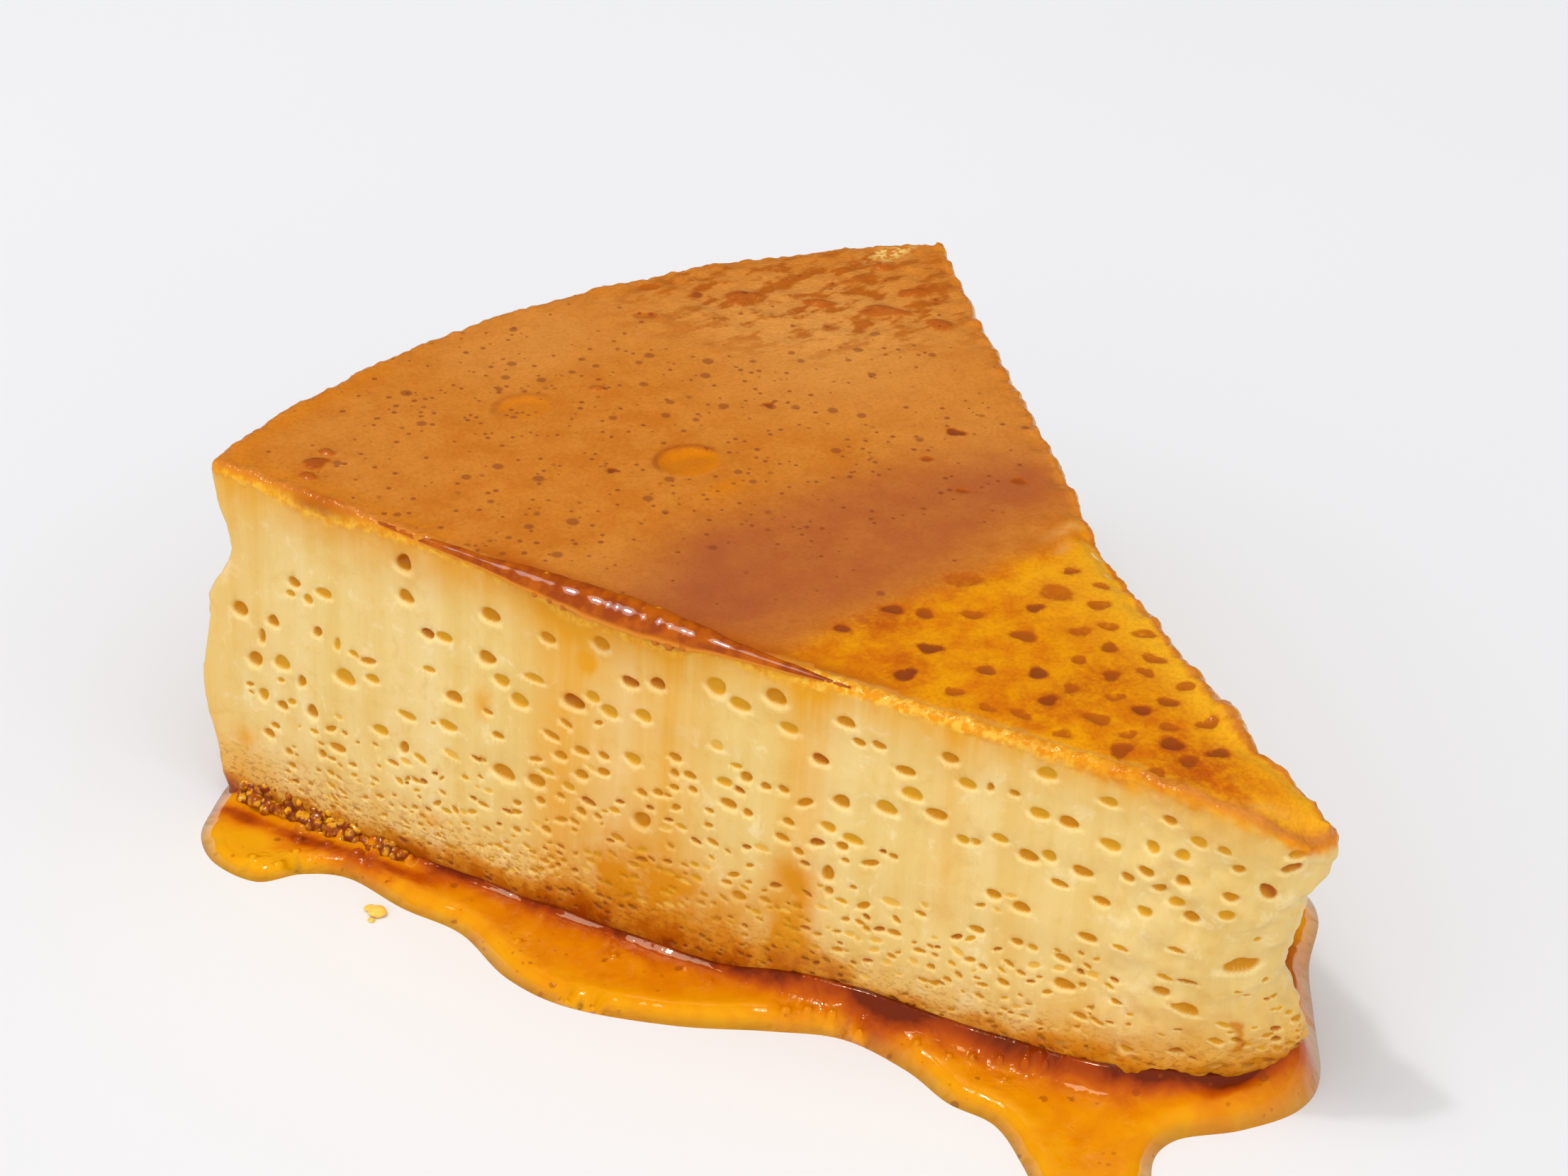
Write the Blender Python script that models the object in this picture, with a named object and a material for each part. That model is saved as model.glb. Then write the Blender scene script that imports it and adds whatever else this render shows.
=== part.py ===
"""Creme caramel flan: one slice of set custard, standing in the pool of its own caramel.

Frame: metres, +Z up, z = 0 on the table. The slice's tip points along -Y and its rim along +Y.
The origin lies on the table under the middle of the slice, CUT_CENTRE_Y from the point where the
two knife cuts would meet.
"""

import math
import random

import bmesh
import bpy
from mathutils import Matrix, Vector

MM = 0.001

# Driving dimensions of the slice
MOULD_RADIUS = 105 * MM          # round mould that the whole flan was baked in
CUT_CENTRE_Y = -60 * MM          # where the knife cuts meet, on the slice's axis
SLICE_HALF_ANGLE = math.radians(24.6)
RIM_HEIGHT = 34.8 * MM           # custard height at the mould wall
TIP_HEIGHT = 28.7 * MM           # the custard sinks a little towards the middle of the mould
RIM_SAGITTA = 11.6 * MM          # how far the rim arc bows out between the two corners
CUT_BOW = 1.9 * MM               # the blade bent: both cuts bow this far towards -X
CUT_BATTER = 1.5 * MM            # the soft cut faces spread this far at the foot
TOP_EDGE_ROUND = 0.7 * MM
DROOP_START_Y = -52 * MM         # from here the top of the tip sags
TIP_DROOP = 45.0                 # metres of sag per square metre past the start

# The mould wall's profile: (share of the height, offset from the mould radius)
WALL_KEYS = [
    (0.0, -1.1 * MM), (0.1, -0.2 * MM), (0.33, 1.35 * MM), (0.58, 0.2 * MM), (0.76, -2.7 * MM),
    (0.93, -1.1 * MM), (1.0, -0.9 * MM),
]

# The torn tip, as cubic curves in mm at rising shares of the height: the end of the front cut, two
# handles, and the end of the back cut. The foot is blunt, the middle hollow, the top a lip.
TIP_KEYS = [
    (0.0, [(-9.3, -48.5), (-6.2, -56.0), (7.3, -60.9), (6.6, -56.8)]),
    (0.2, [(-9.0, -48.5), (-6.0, -56.5), (8.7, -63.2), (6.6, -55.5)]),
    (0.45, [(-8.3, -48.5), (-5.4, -57.3), (6.7, -62.8), (6.3, -53.0)]),
    (0.7, [(-7.0, -48.5), (-4.4, -58.0), (6.6, -65.0), (6.3, -52.0)]),
    (0.85, [(-6.2, -48.5), (-3.6, -58.4), (9.6, -69.0), (5.6, -51.0)]),
    (1.0, [(-5.8, -48.5), (-3.0, -59.5), (8.7, -71.6), (4.3, -50.4)]),
]

# Ring layout of the slice's loft
LEVELS = [0.0, 0.03, 0.1, 0.2, 0.33, 0.45, 0.58, 0.68, 0.76, 0.85, 0.93, 0.965]
TOP_RINGS = [0.94, 0.89, 0.82]   # scaled copies of the outline, which follow the tip's sag
FRONT_STEPS, RIM_STEPS, BACK_STEPS, TIP_STEPS = 14, 20, 12, 14

# Caramel pool
POOL_FILM = 0.6 * MM             # syrup left under the slice
POOL_DEPTH = 1.9 * MM
TOUCH_GAP = 0.3 * MM             # between custard and caramel
BED_GAP = 0.36 * MM              # the same on the sides, where both walls lean
FOOT_HEIGHT = POOL_FILM + TOUCH_GAP
POOL_STEPS = 4                   # outline points between two control points
POOL_RIM = [(0.0, 0.35), (0.45, 0.75), (0.85, 0.9), (1.3, 1.0)]   # inset in mm, share of the depth
POOL_EDGE = [
    (-46.9, 32.6), (-49.9, 29.2), (-51.0, 24.5), (-49.4, 19.6), (-45.4, 18.2), (-42.3, 15.0),
    (-40.9, 8.0), (-38.8, 1.5), (-39.2, -6.5), (-37.2, -13.4), (-31.4, -20.9), (-25.4, -26.3),
    (-21.0, -31.0), (-19.4, -37.5), (-19.4, -43.0), (-18.2, -47.5), (-19.6, -52.5),
    (-22.3, -58.5), (-25.2, -64.5), (-25.2, -69.8), (-20.8, -71.6), (-16.6, -67.5),
    (-12.2, -60.0), (-7.8, -57.9), (-2.3, -60.2), (3.3, -61.2), (8.0, -59.2), (13.5, -53.2),
    (18.8, -47.4), (25.0, -42.5), (26.9, -37.5), (24.6, -30.0), (24.8, -22.0), (27.8, -12.5),
    (33.0, -1.0), (38.0, 11.0), (41.5, 22.0), (47.0, 30.5), (46.6, 37.5), (37.0, 43.0),
    (26.0, 45.6), (14.0, 50.0), (0.0, 49.0), (-13.0, 48.8), (-25.0, 44.2), (-35.0, 40.6),
    (-42.6, 36.2),
]

# Bubbles that the knife opened in the two cut faces. The front cut's larger ones in mm:
# (distance from the cut centre, height, radius)
FRONT_BUBBLES = [
    (82.3, 31.0, 0.85), (82.3, 27.6, 0.8), (73.1, 28.5, 0.95), (79.3, 24.8, 1.0),
    (67.0, 28.1, 0.85), (61.7, 29.0, 0.8), (101.3, 20.9, 1.0), (89.1, 17.6, 1.2),
    (99.4, 16.1, 0.95), (96.0, 16.8, 0.95), (71.4, 13.4, 1.1), (64.0, 22.8, 1.15),
    (50.3, 28.1, 1.2), (44.7, 28.2, 1.2), (38.2, 28.2, 0.9), (40.4, 20.1, 1.0),
    (38.0, 20.3, 0.9), (33.4, 21.2, 0.95), (31.9, 23.3, 0.95), (29.4, 22.0, 0.95),
]
BUBBLE_SEED = 7
BACK_BUBBLES = 20
BACK_BUBBLE_RADIUS = (0.8 * MM, 1.2 * MM)
BUBBLE_SPACING = 1.6             # least distance, in sums of radii
BUBBLE_FLATTENING = 0.72         # height over width
BUBBLE_SINK = 0.25               # how far the centre lies under the face, in radii

# Shallow dimples in the top, in mm: (x, y, length, width, depth)
TOP_DIMPLES = [(-6.6, 10.7, 6.4, 4.0, 0.7), (-13.4, 28.2, 4.6, 3.0, 0.5)]


def lerp(a, b, t):
    return a + (b - a) * t


def eased(keys, t):
    """The value at t of a smooth curve through keys, a list of (place, value) in rising order."""
    for (t0, v0), (t1, v1) in zip(keys, keys[1:]):
        if t <= t1:
            u = max(0.0, (t - t0) / (t1 - t0))
            return lerp(v0, v1, u * u * (3 - 2 * u))
    return keys[-1][1]


def top_height(y):
    """Height of the custard's top, which slopes from the rim to the tip and sags at its end."""
    rim_y = CUT_CENTRE_Y + MOULD_RADIUS * math.cos(SLICE_HALF_ANGLE)
    slope = lerp(TIP_HEIGHT, RIM_HEIGHT, (y - CUT_CENTRE_Y) / (rim_y - CUT_CENTRE_Y))
    return slope - TIP_DROOP * max(0.0, DROOP_START_Y - y) ** 2


def corner(side, share):
    """Where a cut meets the mould wall, at a share of the height. side is -1 for the front cut."""
    reach = MOULD_RADIUS + eased(WALL_KEYS, share)
    outward = Vector((side * math.sin(SLICE_HALF_ANGLE), math.cos(SLICE_HALF_ANGLE)))
    spread = Vector((side * outward.y, -side * outward.x)) * CUT_BATTER * (1 - share)
    return Vector((0, CUT_CENTRE_Y)) + outward * reach + spread


def tip_curve(share):
    """The four points of the torn tip's cubic curve at a share of the height."""
    return [
        Vector((
            eased([(level, points[i][0] * MM) for level, points in TIP_KEYS], share),
            eased([(level, points[i][1] * MM) for level, points in TIP_KEYS], share),
        ))
        for i in range(4)
    ]


def cut_bow(t):
    """How far a cut bows towards -X at a share of the way from the tip to the rim.

    The bow is largest a little nearer to the tip; 4.8 brings its largest value to CUT_BOW.
    """
    return CUT_BOW * 4.8 * t * (1 - t) ** 1.4


def cut_line(tip, rim, steps):
    """Points along a knife cut, from the tip to just short of the rim."""
    return [
        tip.lerp(rim, i / steps) + Vector((-cut_bow(i / steps), 0)) for i in range(steps)
    ]


def arc(start, end, sagitta, steps):
    """Points of the circular arc that bows out to the left of start to end, without its last one."""
    chord = end - start
    radius = (chord.length_squared / 4 + sagitta**2) / (2 * sagitta)
    across = Vector((-chord.y, chord.x)).normalized()
    centre = (start + end) / 2 - across * (radius - sagitta)
    turn = 2 * math.asin(chord.length / 2 / radius)
    return [
        centre + Matrix.Rotation(-turn * i / steps, 2) @ (start - centre) for i in range(steps)
    ]


def cubic(points, steps):
    a, b, c, d = points
    return [
        a * (1 - t) ** 3 + b * 3 * t * (1 - t) ** 2 + c * 3 * t * t * (1 - t) + d * t**3
        for t in (i / steps for i in range(steps))
    ]


def slice_outline(share):
    """Plan of the slice at a share of its height, clockwise: front cut, rim, back cut, tip."""
    tip = tip_curve(share)
    front, back = corner(-1, share), corner(1, share)
    back_cut = cut_line(tip[3], back, BACK_STEPS)
    return (
        cut_line(tip[0], front, FRONT_STEPS)
        + arc(front, back, RIM_SAGITTA, RIM_STEPS)
        + [back] + back_cut[:0:-1]
        + cubic(tip[::-1], TIP_STEPS)
    )


def inset_outline(points, distance):
    """A clockwise outline moved inwards by a distance, or outwards if that is negative."""
    moved = []
    for i, point in enumerate(points):
        along = (points[(i + 1) % len(points)] - points[i - 1]).normalized()
        moved.append(point + Vector((along.y, -along.x)) * distance)
    return moved


def material(name, colour, roughness):
    made = bpy.data.materials.new(name)
    made.use_nodes = True
    shader = made.node_tree.nodes["Principled BSDF"]
    shader.inputs["Base Color"].default_value = (*colour, 1)
    shader.inputs["Roughness"].default_value = roughness
    return made


def place(name, mesh_data, collection, surface=None):
    """An object that holds the bmesh, in the collection."""
    mesh = bpy.data.meshes.new(name)
    bmesh.ops.recalc_face_normals(mesh_data, faces=mesh_data.faces)
    mesh_data.to_mesh(mesh)
    mesh_data.free()
    made = bpy.data.objects.new(name, mesh)
    collection.objects.link(made)
    if surface:
        mesh.materials.append(surface)
    return made


def stack_rings(rings):
    """A closed bmesh: the first ring's face, extruded from each ring of points to the next."""
    made = bmesh.new()
    foot = face = made.faces.new([made.verts.new(p) for p in rings[0]])
    for ring in rings[1:]:
        grown = bmesh.ops.extrude_face_region(made, geom=[face], use_keep_orig=True)
        if face is not foot:
            bmesh.ops.delete(made, geom=[face], context="FACES_ONLY")
        face = next(g for g in grown["geom"] if isinstance(g, bmesh.types.BMFace))
        for vert, point in zip(face.verts, ring):
            vert.co = point
    return made


def at_share(outline, share):
    """The outline's points at a share of the custard's height."""
    return [Vector((p.x, p.y, lerp(FOOT_HEIGHT, top_height(p.y), share))) for p in outline]


def slice_rings():
    """Rings of the slice from its foot to the middle of its top."""
    rings = [at_share(slice_outline(share), share) for share in LEVELS]
    for inset, share in ((TOP_EDGE_ROUND * 0.35, 0.99), (TOP_EDGE_ROUND, 1.0)):
        rings.append(at_share(inset_outline(slice_outline(share), inset), share))
    for scale in TOP_RINGS:
        rings.append(at_share([p * scale for p in slice_outline(1.0)], 1.0))
    return rings


def on_cut(side, reach, height):
    """A point of a cut face and the level direction into the custard there."""
    top = top_height(CUT_CENTRE_Y + reach * math.cos(SLICE_HALF_ANGLE))
    share = (height - FOOT_HEIGHT) / (top - FOOT_HEIGHT)
    tip, rim = tip_curve(share)[0 if side < 0 else 3], corner(side, share)
    centre = Vector((0, CUT_CENTRE_Y))
    t = (reach - (tip - centre).length) / ((rim - centre).length - (tip - centre).length)
    spot = tip.lerp(rim, t) + Vector((-cut_bow(t), 0))
    run = (rim - tip).normalized()
    return Vector((*spot, height)), Vector((-side * run.y, side * run.x, 0))


def bubble_places():
    """(centre, radius, direction into the custard) of the opened bubbles, none touching."""
    found = []
    for reach, height, radius in FRONT_BUBBLES:
        centre, inward = on_cut(-1, reach * MM, height * MM)
        found.append((centre, radius * MM, inward))
    rng = random.Random(BUBBLE_SEED)
    while len(found) < len(FRONT_BUBBLES) + BACK_BUBBLES:
        reach = MOULD_RADIUS * rng.uniform(0.2, 0.94)
        centre, inward = on_cut(1, reach, RIM_HEIGHT * rng.uniform(0.3, 0.8))
        radius = rng.uniform(*BACK_BUBBLE_RADIUS)
        if all((centre - c).length > BUBBLE_SPACING * (radius + r) for c, r, _ in found):
            found.append((centre, radius, inward))
    return found


def hollow_cutter(collection):
    """One mesh with an ellipsoid for each opened bubble and each dimple of the top."""
    made = bmesh.new()
    for centre, radius, inward in bubble_places():
        sunk = centre + inward * radius * BUBBLE_SINK
        flatten = Matrix.Diagonal((1, 1, BUBBLE_FLATTENING, 1))
        bmesh.ops.create_icosphere(
            made, subdivisions=2, radius=radius, matrix=Matrix.Translation(sunk) @ flatten
        )
    for x, y, length, width, depth in TOP_DIMPLES:
        lift = Matrix.Translation((x * MM, y * MM, top_height(y * MM) + depth * MM))
        shape = Matrix.Diagonal((length * MM / 1.6, width * MM / 1.6, 2 * depth * MM, 1))
        bmesh.ops.create_icosphere(made, subdivisions=3, radius=1, matrix=lift @ shape)
    return place("hollow_cutter", made, collection)


def cut(target, cutter):
    modifier = target.modifiers.new(cutter.name, "BOOLEAN")
    modifier.operation = "DIFFERENCE"
    modifier.object = cutter
    cutter.hide_render = True
    cutter.display_type = "WIRE"


def build_custard(parts, cutters):
    custard_yellow = material("custard_yellow", (0.83, 0.62, 0.26), 0.4)
    custard = place("custard", stack_rings(slice_rings()), parts, custard_yellow)
    cut(custard, hollow_cutter(cutters))
    return custard


def closed_spline(points, steps):
    """A closed Catmull-Rom curve through the points."""
    made = []
    count = len(points)
    for i in range(count):
        a, b, c, d = (points[(i + k) % count] for k in (-1, 0, 1, 2))
        for t in (k / steps for k in range(steps)):
            made.append(
                0.5 * (
                    2 * b + (c - a) * t + (2 * a - 5 * b + 4 * c - d) * t * t
                    + (3 * b - a - 3 * c + d) * t**3
                )
            )
    return made


def build_pool(parts, cutters):
    """The caramel: a puddle with a rounded rim, and a bed in it that the slice's foot fits."""
    outline = closed_spline([Vector(p) * MM for p in POOL_EDGE[::-1]], POOL_STEPS)
    rings = [[p.to_3d() for p in outline]]
    for inset, share in POOL_RIM:
        rings.append([
            Vector((p.x, p.y, POOL_DEPTH * share)) for p in inset_outline(outline, inset * MM)
        ])
    caramel = material("caramel_amber", (0.55, 0.17, 0.01), 0.12)
    pool = place("caramel_pool", stack_rings(rings), parts, caramel)

    bed_rings = []
    for z in (POOL_FILM, POOL_DEPTH * 2):
        share = max(0.0, (z - FOOT_HEIGHT) / (RIM_HEIGHT - FOOT_HEIGHT))
        bed = inset_outline(slice_outline(share), -BED_GAP)
        bed_rings.append([Vector((p.x, p.y, z)) for p in bed])
    cut(pool, place("bed_cutter", stack_rings(bed_rings), cutters))
    return pool


def build():
    for old in list(bpy.data.objects):
        bpy.data.objects.remove(old)
    parts = bpy.data.collections.new("creme_caramel_flan")
    cutters = bpy.data.collections.new("cutters")
    for collection in (parts, cutters):
        bpy.context.scene.collection.children.link(collection)
    build_custard(parts, cutters)
    build_pool(parts, cutters)


build()
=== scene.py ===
"""Creme caramel flan: the looks of one slice of set custard, standing in a pool of its own caramel."""

import math

import bmesh
import bpy
import numpy as np
from mathutils import Matrix, Vector, noise
from mathutils.geometry import delaunay_2d_cdt


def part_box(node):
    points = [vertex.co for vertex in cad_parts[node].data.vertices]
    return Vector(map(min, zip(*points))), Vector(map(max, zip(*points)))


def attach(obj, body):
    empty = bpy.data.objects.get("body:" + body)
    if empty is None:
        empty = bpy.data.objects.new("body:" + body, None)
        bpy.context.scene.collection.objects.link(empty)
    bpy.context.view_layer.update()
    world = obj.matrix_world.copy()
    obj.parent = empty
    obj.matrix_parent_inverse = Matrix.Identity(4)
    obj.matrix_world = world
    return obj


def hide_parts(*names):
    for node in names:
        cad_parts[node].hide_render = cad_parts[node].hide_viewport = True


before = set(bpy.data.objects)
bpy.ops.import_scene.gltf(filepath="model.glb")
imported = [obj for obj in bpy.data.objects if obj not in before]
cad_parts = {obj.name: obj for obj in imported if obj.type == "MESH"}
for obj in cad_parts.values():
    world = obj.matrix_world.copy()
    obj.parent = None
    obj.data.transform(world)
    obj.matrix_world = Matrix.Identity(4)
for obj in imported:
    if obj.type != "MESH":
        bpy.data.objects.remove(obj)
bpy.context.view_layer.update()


# ---------------------------------------------------------------------------------------------
# The custard's form. A wedge of set custard, baked in a round mould, turned out and cut twice
# with a knife. The cuts bow a little, the foot spreads, the mould wall bulges under a lip and
# the tip is torn. Sizes are in mm, and the custard's own box gives its heights.
# ---------------------------------------------------------------------------------------------
MM = 0.001
custard_low, custard_high = (Vector(corner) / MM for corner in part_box("custard"))

mould_radius = 105.0
half_angle = math.radians(24.6)
cut_centre = np.array([0.0, -60.0])
rim_height = custard_high.z
tip_height = rim_height - 6.1
foot_height = 0.3
wall_keys = [(0.0, -1.1), (0.1, -0.2), (0.33, 1.35), (0.58, 0.2), (0.76, -2.7), (0.93, -1.1), (1.0, -0.9)]
tip_keys = [
    (0.0, [(-9.3, -48.5), (-6.2, -56.0), (7.3, -60.9), (6.6, -56.8)]),
    (0.2, [(-9.0, -48.5), (-6.0, -56.5), (9.2, -63.2), (6.6, -55.5)]),
    (0.45, [(-8.3, -48.5), (-5.4, -57.3), (5.6, -61.9), (6.3, -53.0)]),
    (0.7, [(-7.0, -48.5), (-4.4, -58.0), (6.6, -65.0), (6.3, -52.0)]),
    (0.85, [(-6.2, -48.5), (-3.8, -58.2), (9.8, -68.2), (5.6, -51.0)]),
    (1.0, [(-5.8, -48.5), (-4.0, -58.5), (10.5, -69.5), (5.2, -50.4)]),
]


def smooth(t):
    t = np.clip(t, 0.0, 1.0)
    return t * t * (3 - 2 * t)


def eased(keys, t):
    """The value at t of a smooth curve through keys, a list of (place, value)."""
    for (t0, v0), (t1, v1) in zip(keys, keys[1:]):
        if t <= t1:
            return v0 + (v1 - v0) * smooth((t - t0) / (t1 - t0))
    return keys[-1][1]


def top_height(y):
    """The top slopes from the rim down to the tip, and sags at its end."""
    rim_y = cut_centre[1] + mould_radius * math.cos(half_angle)
    slope = tip_height + (rim_height - tip_height) * (y - cut_centre[1]) / (rim_y - cut_centre[1])
    return slope - 0.045 * np.maximum(0.0, -52.0 - y) ** 2


def slice_outline(share, step=0.5):
    """Plan of the slice at a share of its height, clockwise from the front cut's tip end."""
    tip = [np.array([eased([(k, p[i][axis]) for k, p in tip_keys], share) for axis in (0, 1)]) for i in range(4)]
    corners = []
    for side in (-1, 1):
        outward = np.array([side * math.sin(half_angle), math.cos(half_angle)])
        spread = np.array([side * outward[1], -side * outward[0]]) * 1.5 * (1 - share)
        corners.append(cut_centre + outward * (mould_radius + eased(wall_keys, share)) + spread)
    front, back = corners

    def cut(start, end, steps):
        t = np.linspace(0, 1, steps + 1)[:, None]
        return start + (end - start) * t + 9.12 * t * (1 - t) ** 1.4 * np.array([-1.0, 0.0])

    chord = back - front
    sagitta = 10.6
    radius = (chord @ chord / 4 + sagitta**2) / (2 * sagitta)
    across = np.array([-chord[1], chord[0]]) / np.linalg.norm(chord)
    centre = (front + back) / 2 - across * (radius - sagitta)
    turn = 2 * math.asin(np.linalg.norm(chord) / 2 / radius)
    angles = -turn * np.linspace(0, 1, int(93 / step), endpoint=False)[:, None]
    arm = front - centre
    rim = centre + np.cos(angles) * arm + np.sin(angles) * np.array([-arm[1], arm[0]])
    t = np.linspace(0, 1, int(25 / step), endpoint=False)[:, None]
    d, c, b, a = tip
    torn = a * (1 - t) ** 3 + b * 3 * t * (1 - t) ** 2 + c * 3 * t * t * (1 - t) + d * t**3
    parts = [cut(tip[0], front, int(94 / step))[:-1], rim, cut(tip[3], back, int(96 / step))[:0:-1], torn]
    return np.vstack(parts), np.cumsum([0] + [len(part) for part in parts])


# The wall is kept as rows of plan points. Its last rows turn over the rounded top edge.
wall_step = 0.5
edge_round = 0.8
edge_start = 0.972
wall_rows, wall_share, wall_level = [], [], []
for level in range(64):
    turn_over = max(0, level - 55) / 8 * math.pi / 2
    share = edge_start * min(level, 55) / 55 + (1 - edge_start) * math.sin(turn_over)
    ring, part_starts = slice_outline(share)
    for _ in range(3):
        ring = (np.roll(ring, 1, 0) + 2 * ring + np.roll(ring, -1, 0)) / 4
    along = np.roll(ring, -1, 0) - np.roll(ring, 1, 0)
    along /= np.linalg.norm(along, axis=1)[:, None]
    inward = np.stack([along[:, 1], -along[:, 0]], 1)
    bend = np.maximum((np.roll(inward, 1, 0) * along).sum(1) - (np.roll(inward, -1, 0) * along).sum(1), 0.02)
    room = np.minimum(edge_round, 0.55 * 2 * wall_step / bend)          # sharp corners are rounded over less
    for _ in range(4):
        room = np.minimum(room, (np.roll(room, 1) + 2 * room + np.roll(room, -1)) / 4)
    for _ in range(6):
        room = np.minimum(room * 1.1, (np.roll(room, 1) + 2 * room + np.roll(room, -1)) / 4)
    wall_rows.append(ring + inward * room[:, None] * (1 - math.cos(turn_over)))
    wall_share.append(share)
    wall_level.append(32.2 * min(level, 55) / 55 + edge_round * turn_over)
wall_rows, wall_share, wall_level = np.array(wall_rows), np.array(wall_share), np.array(wall_level)
wall_length = wall_rows.shape[1] * wall_step
wall_top = wall_level[-1]
front_end, rim_end, back_end = (part_starts[i] * wall_step for i in (1, 2, 3))


def on_wall(u, w):
    """Points of the wall, u mm round it from the front cut's tip end and w mm up it."""
    u, w = np.asarray(u, float), np.clip(np.asarray(w, float), 0, wall_top)
    col = u / wall_step % wall_rows.shape[1]
    row = np.interp(w, wall_level, np.arange(64))
    c0, r0 = col.astype(int) % wall_rows.shape[1], np.minimum(row.astype(int), 62)
    c1 = (c0 + 1) % wall_rows.shape[1]
    fc, fr = (col - np.floor(col))[..., None], (row - r0)[..., None]
    low = wall_rows[r0, c0] * (1 - fc) + wall_rows[r0, c1] * fc
    high = wall_rows[r0 + 1, c0] * (1 - fc) + wall_rows[r0 + 1, c1] * fc
    plan = low * (1 - fr) + high * fr
    share = np.interp(w, wall_level, wall_share)
    z = foot_height + (top_height(plan[..., 1]) - foot_height) * share
    return np.concatenate([plan, z[..., None]], -1)


def wall_normal(u, w):
    du = on_wall(u + 0.7, w) - on_wall(u - 0.7, w)
    dw = on_wall(u, w + 0.3) - on_wall(u, w - 0.3)
    across = np.cross(dw, du)
    return across / np.maximum(np.linalg.norm(across, axis=-1, keepdims=True), 1e-9)


def wall_place(reach, height, back=False):
    """(u, w) of the spot on a cut at a reach from the cut's centre and a height."""
    line = np.linspace(rim_end, back_end, 300) if back else np.linspace(0, front_end, 300)
    w = height
    for _ in range(4):
        spots = on_wall(line, np.full(300, w))
        reaches = np.linalg.norm(spots[:, :2] - cut_centre, axis=1)
        order = np.argsort(reaches)
        u = np.interp(reach, reaches[order], line[order])
        w += height - on_wall(np.array([u]), np.array([w]))[0, 2]
    return float(u), float(w)


# ---------------------------------------------------------------------------------------------
# The bubbles that set in the custard and were opened by the knife: round, crisp-edged pits, with
# caramel soaked into the deeper ones. Near the foot they are many, fine and drawn sideways.
# ---------------------------------------------------------------------------------------------
pit_dice = np.random.default_rng(11)


def pit(u, w, width, tall, kind, tilt=0.0):
    """A bubble's opening. Kinds: r red-brown, b brown, o shallow ochre, p pale."""
    depth, tone = {"r": (0.62, 1.0), "b": (0.6, 0.72), "o": (0.36, 0.36), "p": (0.22, 0.08)}[kind]
    lobes = pit_dice.uniform(-1, 1, 4) * (0.07, 0.07, 0.06, 0.06)
    # How mm along and up the skin follow from u and w there, as the wall's columns lean.
    step_u = on_wall([u + 0.5], [w])[0] - on_wall([u - 0.5], [w])[0]
    step_w = on_wall([u], [w + 0.5])[0] - on_wall([u], [w - 0.5])[0]
    level = step_u * (1, 1, 0)
    level /= np.linalg.norm(level)
    rise = step_w - level * (step_w @ level)
    rise /= np.linalg.norm(rise)
    grid = np.array([[step_u @ level, step_w @ level], [step_u @ rise, step_w @ rise]])
    return dict(
        u=u, w=w, a=width / 2, b=tall / 2, tilt=tilt, depth=depth * min(width, tall), tone=tone, lobes=lobes, grid=grid,
    )


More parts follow.
